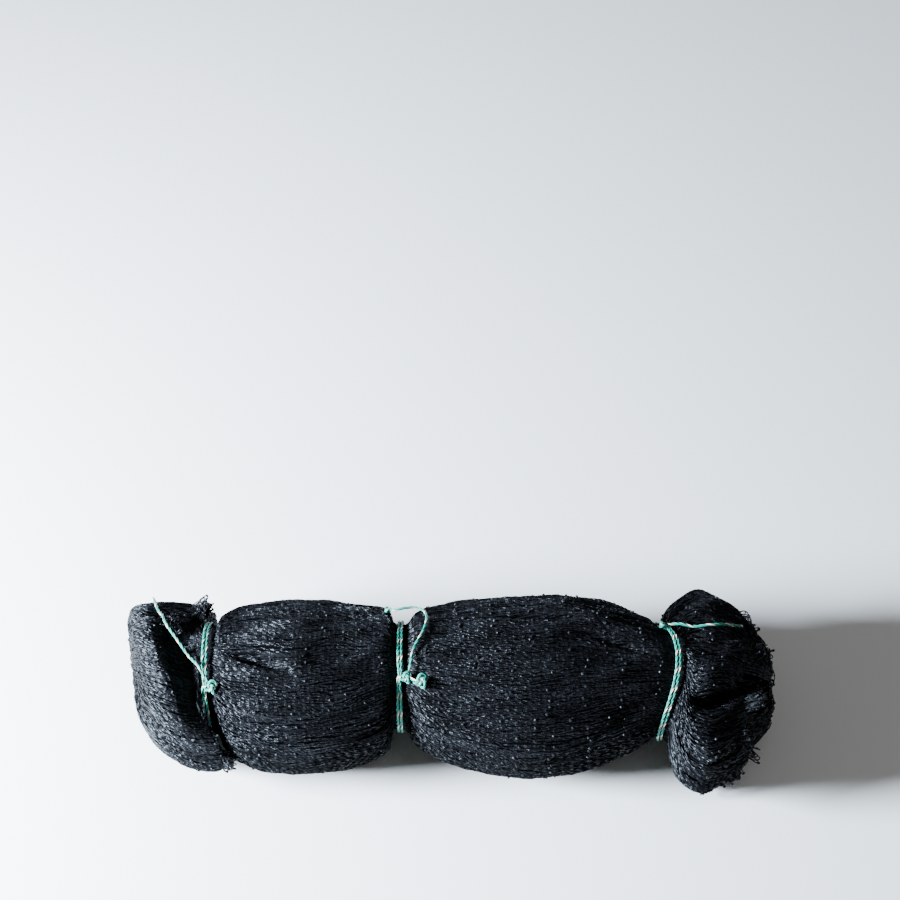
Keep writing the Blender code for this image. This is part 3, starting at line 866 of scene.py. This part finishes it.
# Only the twines follow these: more depth for the hollow of the left end, and narrow creases
CREASES = [
    Fold(-0.404, -0.348, 92, 92, 42, 0.009),
    Fold(-0.322, -0.21, 92, 107, 3.5, 0.01),
    Fold(-0.318, -0.24, 81, 92, 3.0, 0.005),
    Fold(0.165, 0.3, 78, 101, 2.5, 0.005),
    Fold(0.06, 0.2, 66, 72, 2.5, 0.005),
    Fold(0.321, 0.445, 118, 113, 3.5, 0.012),
    Fold(0.321, 0.42, 150, 160, 3.0, 0.006),
]

end_knot_frame = place_knot(net_row(END_KNOT_X, END_KNOT_ANGLE), END_KNOT_ANGLE, 0.0,
                            END_KNOT_LIFT, END_KNOT_TILT)
guard_points = [end_knot_frame @ place
                for place in knot_points(GUARD_KNOT_POINTS, END_KNOT_SIZE)]
for tie in TIES:
    for along in (-WRAP_PITCH / 2, WRAP_PITCH / 2):
        guard_points += [wrap_point(tie, along, GUARD_TURN * k)
                         for k in range(int(360 / GUARD_TURN))]
    guard_points += [tie_knot_frame(tie) @ place
                     for place in knot_points(GUARD_KNOT_POINTS, tie.knot_size)]
    guard_points += evenly(routes[tie.name], GUARD_STEP)
guard = kdtree.KDTree(len(guard_points))
for number, place in enumerate(guard_points):
    guard.insert(place, number)
guard.balance()


def press_down(points, normals, thickness):
    clear = TWINE / 2 + thickness / 2 + GUARD_AIR
    for i, (point, normal) in enumerate(zip(points, normals)):
        near, _, distance = guard.find(point)
        if distance > GUARD_REACH:
            continue
        offset = Vector(point) - near
        height = offset.dot(Vector(normal))
        sideways = math.sqrt(max(offset.length_squared - height * height, 0.0))
        if sideways < clear:
            limit = -math.sqrt(clear * clear - sideways * sideways)
            if height > limit:
                points[i] = point + normal * (limit - height)


def between_poles(rows):
    return np.clip(rows, POLE_ROWS, len(SECTIONS) - 1 - POLE_ROWS)


def crease_depth(rows, angles):
    x = np.interp(rows, np.arange(len(SECTIONS)), SECTIONS[:, 0])
    return fold_depth(x, angles % 360.0, CREASES)


def on_net(girth, travel, height, thickness):
    """Points over the net, clear of the floor and the ties."""
    rows = between_poles(np.interp(travel, TRAVEL, TABLE_ROWS))
    angles = angles_at(girth)
    normals = net_normals(rows, angles)
    height = height - crease_depth(rows, angles)
    points = net_points(rows, angles) + normals * height[:, None]
    points[:, 2] = np.maximum(points[:, 2], thickness / 2 + FLOOR_AIR)
    press_down(points, normals, thickness)
    return points


print(len(guard_points), "points on the tie routes")

# %% [markdown]
# ## The four lobes
#
# Each lobe of the bundle becomes two pieces of netting, an outer and an inner one. Between the ties
# the twines run on without a break. At the two ends of the bundle each lock stops at its own
# place, and its twines meet there in pairs, in the last knots of the net's edge.

# %% Lines for one lobe
LEFT_TIPS = (0.004, 0.036)     # between these distances from an end the locks stop
RIGHT_TIPS = (0.010, 0.120)
# knot_rows: angle and X of a row of knots that shows there, then the rest follow a bar apart
Lobe = namedtuple("Lobe", "name first last left_tips right_tips knot_share tip_lift knot_rows")
LOBES = [
    Lobe("left_end", 0.0, WAISTS[0], LEFT_TIPS, None, 0.4, 0.3, []),
    Lobe("left_lobe", WAISTS[0], WAISTS[1], None, None, 0.45, 0.0,
         [(75, -0.175), (100, -0.195), (160, -0.160)]),
    Lobe("right_lobe", WAISTS[1], WAISTS[2], None, None, 0.9, 0.0,
         [(60, 0.110), (82, 0.114), (122, 0.086), (165, 0.141)]),
    Lobe("right_end", WAISTS[2], TRAVEL[-1], None, RIGHT_TIPS, 0.7, 1.0, []),
]
KNOT_SPAN = 0.0056         # the largest knot from side to side
KNOT_RISE = 0.0010
BAND = 0.060               # how far round the bundle the knots of one row keep in line
ROW_REACH = 20.0           # how far from its angle a row of knots shows, in degrees
LOCK_SHIFT = 0.0012        # how far a lock's knots slip out of their row, most of the time
KNOT_SHIFT = 0.0022        # how far one knot does
KNOT_STRIDE = 6            # only some of the knots in a row come to the top
KNOT_GRIP = 0.3            # no knots show where a tie holds the net more firmly than this
# Painted highlight: knots get a lighter tone than the twine, because they catch more light
KNOT_PAINTED_HIGHLIGHT = 1.5            # knots catch more light than the twine between them
EDGE = 0.004               # no twine comes nearer than this to an end of the net
KNOT_EDGE = 0.010
STEP_JITTER = 0.3          # how far the points of a twine shift along it, in steps
FEWEST_STEPS = 4
TIP_JITTER = 0.008         # how far a pair of twines stops before or after its lock
TIP_MEET = 0.012           # over this length the two twines of a pair come together
TIP_PART = 0.0018          # how far each of them moves aside half a bar away
TIP_LENGTH = 0.040         # the end of a twine that stands away from the net
TIP_RISE = (0.002, 0.006)  # how far it does, at least, and how much further at most
# Painted shade: the twines near the left end get a darker tone, for the shadow in its open meshes
PAINTED_RIM_REACH = 0.11           # how far from the left end its open meshes are shaded
PAINTED_RIM_SHADE = 1.2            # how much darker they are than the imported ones
LOCK_TONE, TWINE_TONE = 0.55, 0.45
WHOLE_TURN = 6.283         # in radians
THICKER = 1.15             # a body with few sides is thinner than the circle it is drawn in


def knot_phases(layer, tables, lobe, tips):
    """Where the rows of knots lie in each lock of this lobe."""
    rng = tables["rng"]
    if tips is not None:
        return tips
    bands = rng.uniform(0.0, MESH_BAR, int(AROUND / BAND) + 2)
    phase = bands[(tables["girth"] / BAND).astype(int)]
    angles = angles_at(tables["girth"])
    for row_angle, x in lobe.knot_rows:
        row_phase = travel_of(net_row(x, 90.0)) % MESH_BAR
        phase = np.where(np.abs(angles - row_angle) < ROW_REACH, row_phase, phase)
    return phase + rng.normal(0.0, LOCK_SHIFT, layer.locks)


def line_edges(sizes):
    """The edges that join the points of lines with these numbers of points."""
    joined = np.ones(sum(sizes), bool)
    joined[np.cumsum(sizes) - 1] = False
    firsts = np.nonzero(joined)[0]
    return np.stack([firsts, firsts + 1], axis=1)


def lobe_lines(layer, tables, lobe):
    """The twines of one lobe as points, edges and attributes, and where its knots lie."""
    rng = tables["rng"]
    tips = None
    if lobe.left_tips:
        tips = rng.uniform(*lobe.left_tips, layer.locks)
    if lobe.right_tips:
        tips = TRAVEL[-1] - rng.uniform(*lobe.right_tips, layer.locks)
    phases = knot_phases(layer, tables, lobe, tips)
    runs = []
    for lock in range(layer.locks):
        for index in range(layer.twines):
            first, last = lobe.first, lobe.last
            if index % 2 == 0:
                jitter = rng.uniform(-TIP_JITTER, TIP_JITTER)
            if lobe.left_tips:
                first = max(tips[lock] + jitter, EDGE)
            if lobe.right_tips:
                last = min(tips[lock] + jitter, TRAVEL[-1] - EDGE)
            count = max(int(round((last - first) / layer.step)), FEWEST_STEPS)
            travel = np.linspace(first, last, count + 1)
            travel[1:-1] += rng.uniform(-STEP_JITTER, STEP_JITTER) * layer.step
            runs.append((travel, lock, index, first if lobe.left_tips else last))
    sizes = [len(run[0]) for run in runs]
    travel = np.concatenate([run[0] for run in runs])
    lock, index, tip = (np.repeat([run[k] for run in runs], sizes) for k in (1, 2, 3))
    twine = lock * layer.twines + index
    girth, height = twine_places(layer, tables, lock, index, travel, phases[lock])
    if tips is not None:
        pair = index // 2 * 2
        from_tip = travel - tip
        shared = tables["girth"][lock] + (pair + 0.5 - (layer.twines - 1) / 2) * layer.pitch
        girth = girth + (shared - girth) * bump(from_tip, TIP_MEET)
        apart = np.sin(math.pi * np.clip(np.abs(from_tip) / MESH_BAR, 0.0, 1.0))
        girth = girth + np.where(index % 2 == 0, -1.0, 1.0) * apart * TIP_PART
        own_rise = np.abs(tables["twine_depth"][lock * layer.twines + pair])
        rise = (TIP_RISE[0] + TIP_RISE[1] * own_rise) * bump(from_tip, TIP_LENGTH)
        height = height + rise * lobe.tip_lift
    points = on_net(girth, travel, height, NET_TWINE_SIZE)
    tone = LOCK_TONE * tables["tone"][lock] + TWINE_TONE * tables["twine_tone"][twine]
    # painted shade: the twines near the left end are darkened, for the shadow in its open meshes
    tone = tone - PAINTED_RIM_SHADE * bump(travel, PAINTED_RIM_REACH)
    return points, line_edges(sizes), tone, tables["twine_tone"][twine] * WHOLE_TURN, phases


def knot_places(layer, tables, lobe, phases):
    """Places of the knots that show on the outside of a lobe."""
    rng = tables["rng"]
    found = []
    for lock in range(layer.locks):
        first_row = math.ceil((lobe.first - phases[lock]) / MESH_BAR)
        last_row = math.floor((lobe.last - phases[lock]) / MESH_BAR)
        for row in range(first_row, last_row + 1):
            travel = phases[lock] + row * MESH_BAR
            first_index = row % 2 + 2 * int(rng.integers(3))
            for index in range(first_index, layer.twines - 1, KNOT_STRIDE):
                if rng.random() < lobe.knot_share:
                    found.append((lock, index, travel + rng.normal(0.0, KNOT_SHIFT)))
    lock, index, travel = (np.array(column) for column in zip(*found))
    keep = (waist_grip(travel) < KNOT_GRIP) & (travel > KNOT_EDGE)
    keep &= travel < TRAVEL[-1] - KNOT_EDGE
    lock, index, travel = lock[keep], index[keep], travel[keep]
    girth, height = twine_places(layer, tables, lock, index, travel, phases[lock])
    return on_net(girth, travel, height + KNOT_RISE, KNOT_SPAN)


def line_mesh(name, points, edges, tone, start_turn, knots):
    """A mesh of lines, with a loose point for each knot."""
    mesh = bpy.data.meshes.new(name)
    mesh.from_pydata(np.concatenate([points, knots]).tolist(), edges.tolist(), [])
    # the knots get the tone of the painted highlight
    for label, on_lines, on_knots in (("tone", tone, KNOT_PAINTED_HIGHLIGHT), ("start_turn", start_turn, 0.0),
                                      ("knot", np.zeros(len(points)), 1.0)):
        data = np.concatenate([on_lines, np.full(len(knots), on_knots)]).astype(np.float32)
        mesh.attributes.new(label, "FLOAT", "POINT").data.foreach_set("value", data)
    return mesh


def net_piece(name, lines, sides, knot_size, seed, mat):
    """A piece of netting, made of its lines by the net twine tree."""
    piece = run_tree(name, line_mesh(name + "_lines", *lines), NET_TREE, {
        "Thickness": NET_TWINE_SIZE * THICKER, "Sides": sides, "Turns a Metre": 26.0,
        "Knot Size": knot_size, "Seed": seed, "Material": mat})
    return as_root_piece(piece, "net_twine", "net_bundle")


# %% Make the lobes
for layer, title, mat in ((OUTER, "outer", NET_TWINE), (INNER, "inner", INNER_TWINE)):
    tables = lock_tables(layer)
    for lobe in LOBES:
        *lines, phases = lobe_lines(layer, tables, lobe)
        knots = np.zeros((0, 3))
        if layer is OUTER:
            knots = knot_places(layer, tables, lobe, phases)
        net_piece(f"net_{lobe.name}_{title}", (*lines, knots), sides=3, knot_size=0.0045,
                  seed=7, mat=mat)

# %% [markdown]
# ## Loose loops at the two ends
#
# The edges of a gathered net are never tidy. Meshes slip out and stand away from it as small loops,
# most of all where a tie squeezes the net. Each line of this table scatters some loops round one
# place. A loop leaves the net, swings out as far as its reach, and comes back a little way off.
# The last lines of each table lay a mat of short loops over the end of the bundle.

# %% Make the loops
Tuft = namedtuple("Tuft", "row angle row_spread angle_spread count reach lean")
LOOP_POINTS = 10
LOOP_ROOT = 0.002          # how deep in the net a loop starts
LOOP_SHARE = 0.35          # the shortest loop of a tuft, next to its reach
LOOP_LEAN = 0.10           # how far a loop leans, next to its tuft's reach
LOOP_TWIST = 0.12
KNOTTED = 0.5              # share of the loops that have a knot
LEFT_TUFTS = [
    Tuft(6.1, 42, 0.5, 14, 64, 0.014, (0.006, 0, 0.001)),
    Tuft(5.2, 60, 0.7, 12, 44, 0.009, (0.002, 0, 0.001)),
    Tuft(6.2, 205, 0.4, 14, 60, 0.013, (0.009, -0.003, -0.001)),
    Tuft(6.1, 184, 0.4, 10, 34, 0.010, (0.007, -0.002, 0)),
    *[Tuft(0.6, 45 * k, 0.55, 60, 16, 0.009, (0.002, 0, 0)) for k in range(8)],
    Tuft(0.4, 180, 0.4, 180, 70, 0.008, (0.003, 0, 0)),
]
RIGHT_TUFTS = [
    Tuft(34.6, 50, 0.5, 9, 26, 0.010, (0.006, 0.002, 0.001)),
    Tuft(35.2, 84, 0.5, 10, 34, 0.012, (0.010, 0, 0.001)),
    Tuft(34.6, 126, 0.4, 7, 40, 0.016, (0.012, 0, 0)),
    Tuft(34.2, 150, 0.4, 8, 24, 0.012, (0.006, -0.002, 0)),
    Tuft(34.4, 171, 0.3, 3, 6, 0.026, (0.014, -0.004, 0)),
    Tuft(33.6, 200, 0.6, 9, 30, 0.011, (0.004, -0.003, -0.001)),
    Tuft(32.6, 222, 0.6, 9, 26, 0.009, (0, -0.004, -0.001)),
    *[Tuft(37.2, 45 * k, 0.7, 60, 14, 0.009, (0, 0, 0)) for k in range(8)],
    Tuft(37.5, 180, 0.4, 180, 50, 0.008, (0, 0, 0)),
]


def loop_lines(tufts, rng):
    """The loops of these tufts, as points, edges and attributes, with knots on some of them."""
    steps = np.linspace(0.0, 1.0, LOOP_POINTS)[:, None]
    loops, normals, tones, knots = [], [], [], []
    for tuft in tufts:
        rows = tuft.row + tuft.row_spread * rng.uniform(-1.0, 1.0, (tuft.count, 2))
        angles = tuft.angle + tuft.angle_spread * rng.uniform(-1.0, 1.0, (tuft.count, 2))
        outward = net_normals(rows.mean(axis=1), angles.mean(axis=1))
        starts, ends = (net_points(rows[:, k], angles[:, k]) - outward * LOOP_ROOT for k in (0, 1))
        far = rng.uniform(LOOP_SHARE, 1.0, (tuft.count, 1))
        peaks = far * (outward * tuft.reach + np.array(tuft.lean))
        peaks = peaks + rng.normal(0.0, LOOP_LEAN, (tuft.count, 3)) * tuft.reach
        twists = rng.normal(0.0, LOOP_TWIST, (tuft.count, 3)) * tuft.reach
        for start, end, peak, twist, normal in zip(starts, ends, peaks, twists, outward):
            line = start + (end - start) * steps + peak * np.sin(math.pi * steps)
            line = line + twist * np.sin(2 * math.pi * steps)
            loops.append(line)
            normals.append(np.broadcast_to(normal, line.shape))
            tones.append(rng.uniform(0.0, 1.0))
            if rng.random() < KNOTTED:
                knots.append(line[LOOP_POINTS // 2])
    points = np.concatenate(loops)
    points[:, 2] = np.maximum(points[:, 2], NET_TWINE_SIZE / 2 + FLOOR_AIR)
    press_down(points, np.concatenate(normals), NET_TWINE_SIZE)
    tone = np.repeat(tones, LOOP_POINTS)
    edges = line_edges([LOOP_POINTS] * len(loops))
    return points, edges, tone, tone * WHOLE_TURN, np.array(knots)


loop_rng = np.random.default_rng(21)
for side, tufts, mat in (("left", LEFT_TUFTS, NET_TWINE), ("right", RIGHT_TUFTS, INNER_TWINE)):
    net_piece(f"net_{side}_end_loops", loop_lines(tufts, loop_rng), sides=4, knot_size=0.0040,
              seed=8, mat=mat)

# %% [markdown]
# ## The dark inside of the bundle
#
# Between the twines one sees more twines in deep shade, down to black. A closed core a few
# millimetres under the surface stands for them, in a near-black colour that is painted shade. It
# follows the same sections, so it is dark wherever a gap opens, from any side.

# %% The core
CORE_DEPTH = 0.0052
CORE_RINGS = 3             # rings of the core for each row of the table
CORE_POINTS = 120


def core_mesh():
    bm = bmesh.new()
    rings = []
    angles = np.arange(CORE_POINTS) * 360.0 / CORE_POINTS
    for step in range((len(SECTIONS) - 1) * CORE_RINGS + 1):
        rows = between_poles(np.full(CORE_POINTS, step / CORE_RINGS))
        depth = CORE_DEPTH + crease_depth(rows, angles)
        ring_points = net_points(rows, angles) - net_normals(rows, angles) * depth[:, None]
        ring_points[:, 2] = np.maximum(ring_points[:, 2], NET_TWINE_SIZE)
        rings.append([bm.verts.new(place) for place in ring_points])
    for here, following in zip(rings, rings[1:]):
        for k in range(CORE_POINTS):
            n = (k + 1) % CORE_POINTS
            bm.faces.new((here[k], following[k], following[n], here[n]))
    for end in (rings[0], rings[-1]):
        pole = bm.verts.new(sum((vert.co for vert in end), Vector()) / CORE_POINTS)
        for k in range(CORE_POINTS):
            bm.faces.new((pole, end[k], end[(k + 1) % CORE_POINTS]))
    bmesh.ops.recalc_face_normals(bm, faces=bm.faces)
    mesh = bpy.data.meshes.new("net_core")
    bm.to_mesh(mesh)
    bm.free()
    mesh.shade_smooth()
    mesh.materials.append(CORE_PAINTED_SHADE)
    return mesh


as_root_piece(add_object("net_core", core_mesh()), "net_twine", "net_bundle")

# %% [markdown]
# ## Twisted tie twine
#
# The ties are cut from green three-strand twine, with an orange tracer laid in one strand. Three
# small circles, moved along the route and turned as they go, leave three strands that wind round
# each other. The tree also writes down how far along and round each strand a point is, so that the
# material can lay its filaments along the strands.

# %% The tie twine tree
STRAND_RADIUS = 0.265      # of a strand, next to the thickness of the twine
STRAND_SHIFT = 0.26        # of a strand from the middle of the twine


def tie_twine_tree():
    tree, given, result = geometry_tree("tie_twine", [
        ("Thickness", "Float", TWINE), ("Pitch", "Float", 0.022), ("Step", "Float", 0.0018),
        ("Sides", "Int", 7)])
    add, calc = partial(output_of, tree), partial(calculate, tree)
    line = add("GeometryNodeMeshToCurve", {"Mesh": given["Geometry"]})
    even = add("GeometryNodeResampleCurve", {"Curve": line, "Length": given["Step"]}, mode="LENGTH")
    reached = tree.nodes.new("GeometryNodeSplineParameter").outputs
    turns = calc("ROUND", calc("DIVIDE", add("GeometryNodeSplineLength", {}), given["Pitch"]))
    tilt = calc("MULTIPLY", calc("MULTIPLY", reached["Factor"], turns), 2 * math.pi)
    turned = add("GeometryNodeSetCurveTilt", {"Curve": even, "Tilt": tilt})
    route = add("GeometryNodeStoreNamedAttribute", {
        "Geometry": turned, "Name": "along", "Value": reached["Length"]},
        data_type="FLOAT", domain="POINT")

    strands = []
    for number in range(3):
        circle = add("GeometryNodeCurvePrimitiveCircle", {
            "Resolution": given["Sides"],
            "Radius": calc("MULTIPLY", given["Thickness"], STRAND_RADIUS)})
        factor = tree.nodes.new("GeometryNodeSplineParameter").outputs["Factor"]
        turn = calc("MULTIPLY", factor, 2 * math.pi)
        ring_place = add("ShaderNodeCombineXYZ", {
            "X": calc("COSINE", turn), "Y": calc("SINE", turn), "Z": float(number)})
        marked = add("GeometryNodeStoreNamedAttribute", {
            "Geometry": circle, "Name": "ring", "Value": ring_place},
            data_type="FLOAT_VECTOR", domain="POINT")
        direction = 2 * math.pi * number / 3
        shift = add("ShaderNodeVectorMath", {
            0: (math.cos(direction), math.sin(direction), 0.0),
            "Scale": calc("MULTIPLY", given["Thickness"], STRAND_SHIFT)}, operation="SCALE")
        strands.append(add("GeometryNodeTransform", {"Geometry": marked, "Translation": shift}))
    body = add("GeometryNodeCurveToMesh", {
        "Curve": route, "Fill Caps": True,
        "Profile Curve": add("GeometryNodeJoinGeometry", {"Geometry": strands})})
    real = add("GeometryNodeRealizeInstances", {"Geometry": body})
    paint(tree, add("GeometryNodeSetShadeSmooth", {"Geometry": real}), given, result)
    return tree


TIE_TREE = tie_twine_tree()
print("tie twine tree has", len(TIE_TREE.nodes), "nodes")

# %% [markdown]
# ## The colour of the ties
#
# Two strands are sea green. The third carries the tracer, so a fleck of orange and a pale one show
# wherever that strand comes to the top. Fine filaments run along each strand as a bump, and small
# patches along the strands are painted paler, as painted glints where the filaments catch the
# light.

# %% Tie material
TRACER_ORANGE = (0.72, 0.22, 0.12, 1.0)
TRACER_PALE = (0.92, 0.84, 0.72, 1.0)


def tie_twine_material():
    mat, tree, shader = shader_material("green_tie_twine", 0.42, 0.5)
    calc = partial(calculate, tree)
    ring_place = add_node(tree, "ShaderNodeSeparateXYZ", {
        "Vector": attribute(tree, "ring", "Vector")}).outputs
    place = output_of(tree, "ShaderNodeCombineXYZ", {
        "X": calc("MULTIPLY", attribute(tree, "along", "Fac"), 120.0),
        "Y": ring_place["X"], "Z": calc("MULTIPLY_ADD", ring_place["Z"], 7.3, 0.5)})
    # the paler teal patches are painted glints over the sea green
    green = output_of(tree, "ShaderNodeGroup", {
        "Dark": (0.002, 0.13, 0.095, 1.0), "Light": (0.005, 0.28, 0.215, 1.0),
        "Patch Size": 1.6, "Tone": 0.6, "Place": place}, node_tree=TWINE_SHADE)
    crest = output_of(tree, "ShaderNodeMapRange", {
        "From Min": 0.1, "From Max": 0.8, "Value": ring_place["X"]})
    tracer = mix_colors(tree, crest, TRACER_ORANGE, TRACER_PALE)
    is_third = calc("GREATER_THAN", ring_place["Z"], 1.5)
    is_outside = calc("GREATER_THAN", ring_place["X"], -0.2)
    color = mix_colors(tree, calc("MULTIPLY", is_third, is_outside), green, tracer)
    dress_twine(tree, shader, color, place, fineness=7.0, strength=0.6, distance=0.0003)
    return mat


TIE_TWINE = tie_twine_material()
print("tie material:", TIE_TWINE.name)

# %% [markdown]
# ## The ties and their knots
#
# Each tie runs twice round its waist. It starts inside the knot, crosses from the first turn to the
# second beside it, and ends inside the knot again. The knot itself is an overhand knot drawn as a
# trefoil. The loose end is a cord of its own, because it lies free over the net.

# %% Make the ties
KNOT_POINTS = 60
CORE_SCALE = 0.62          # size of the twine inside a knot, next to its outer lobes
TIP_KNOT_SIZE = 0.0014
CROSS_FROM, CROSS_OVER = 330.0, 60.0    # where a tie crosses to its second turn, in degrees
FAR_ENDS = {"tie_left": "bare", "tie_middle": "knot", "tie_right": "bare"}


def tie_line(tie):
    """Both turns of a tie as one line that ends inside its knot."""
    line = []
    for turned in range(0, 721, 2):
        crossing = ease(min(max((turned - CROSS_FROM) / CROSS_OVER, 0.0), 1.0))
        line.append(wrap_point(tie, WRAP_PITCH * (crossing - 0.5), tie.knot_angle + turned))
    return line


def knot_lines(placed, size):
    """A knot drawn tight: its outer lobes, and the twine that fills the middle between them."""
    lines = []
    for scale, turn in ((1.0, 0.0), (CORE_SCALE, math.pi / 3)):
        turned = placed @ Matrix.Rotation(turn, 4, "Z")
        lobes = [turned @ place for place in knot_points(KNOT_POINTS, size * scale)]
        lines.append((lobes, True))
    return lines


def twisted(name, lines):
    """Tie twine along some lines. Each is (points, closed)."""
    points, edges = [], []
    for line, closed in lines:
        start = len(points)
        points += [tuple(place) for place in line]
        edges += [(start + k, start + k + 1) for k in range(len(line) - 1)]
        if closed:
            edges.append((start + len(line) - 1, start))
    mesh = bpy.data.meshes.new(name + "_lines")
    mesh.from_pydata(points, edges, [])
    return run_tree(name, mesh, TIE_TREE, {
        "Thickness": TWINE, "Pitch": 0.028, "Step": 0.0020, "Sides": 7, "Material": TIE_TWINE})


for tie in TIES:
    placed = tie_knot_frame(tie)
    lines = [(tie_line(tie), False), *knot_lines(placed, tie.knot_size)]
    lines.append((crossing_line(tie), False))
    if tie.name == "tie_middle":
        lines += knot_lines(end_knot_frame, END_KNOT_SIZE)
        lines.append(([placed @ Vector((tie.knot_size * 2, 0.0, 0.0)),
                       end_knot_frame @ Vector((-END_KNOT_SIZE * 2, 0.0, 0.0))], False))
    as_root_piece(twisted(tie.name + "_twine", lines), "tie_twine", tie.name)

for tie in TIES:
    route = routes[tie.name]
    piece = twisted(tie.name + "_loose_end", [(route, False)])
    if FAR_ENDS[tie.name] == "knot":
        turn = (route[-1] - route[-2]).to_track_quat("X", "Z").to_matrix().to_4x4()
        tip_knot = twisted(tie.name + "_tip_knot",
                           knot_lines(Matrix.Translation(route[-1]) @ turn, TIP_KNOT_SIZE))
        as_root_piece(tip_knot, "tie_twine")
    as_root_piece(piece, "tie_twine", tie.name + "_end")

# %% [markdown]
# ## Floor and light
#
# The photograph is lit from the left and a little from the front, low enough that the left side of
# each lobe is bright and the right side is nearly black. One lamp does that. A very weak one from
# above and a pale sky keep the shadows readable, and the floor throws a little light back up.

# %% Floor, lamps and sky
FLOOR_HALF = 12.0
corners = [(-FLOOR_HALF, -FLOOR_HALF, 0), (FLOOR_HALF, -FLOOR_HALF, 0),
           (FLOOR_HALF, FLOOR_HALF, 0), (-FLOOR_HALF, FLOOR_HALF, 0)]
floor_mesh = bpy.data.meshes.new("floor")
floor_mesh.from_pydata(corners, [], [(0, 1, 2, 3)])
floor_mesh.materials.append(shader_material("pale_floor", 0.8, 0.1, (0.86, 0.86, 0.86))[0])
add_object("floor", floor_mesh)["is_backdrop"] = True


def lamp(name, place, target, size, power, color):
    data = bpy.data.lights.new(name, "AREA")
    data.shape = "DISK"
    data.size = size
    data.energy = power
    data.color = color
    obj = add_object(name, data)
    obj.location = place
    obj.rotation_euler = (Vector(target) - Vector(place)).to_track_quat("-Z", "Y").to_euler()


lamp("key_lamp", (-2.3, -0.45, 0.9), (-0.2, 0.0, 0.05), 0.8, 950.0, (0.78, 0.88, 1.0))
lamp("top_lamp", (1.2, -0.3, 2.4), (0.2, 0.0, 0.0), 2.0, 5.0, (1.0, 0.98, 0.96))
sky = bpy.data.worlds.new("sky")
sky.use_nodes = True
sky_light = sky.node_tree.nodes["Background"].inputs
sky_light["Color"].default_value = (1.0, 1.0, 1.0, 1.0)
sky_light["Strength"].default_value = 0.16
bpy.context.scene.world = sky
print("two lamps and a pale sky")

# %% [markdown]
# ## Sizes at the end
#
# The netting may stand a little proud of the solid model and no more. The last cell counts the
# triangles and prints the box of the dressed scene, as the first cell printed the box of the
# solid model.

# %% Sizes and the last line
shown = [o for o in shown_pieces() if o.type == "MESH"]
print(len(shown), "pieces,", sum(triangles(o) for o in shown), "triangles")
bpy.context.view_layer.update()
dressed_box = [list(corner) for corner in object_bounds()]
show_box("dressed", dressed_box)
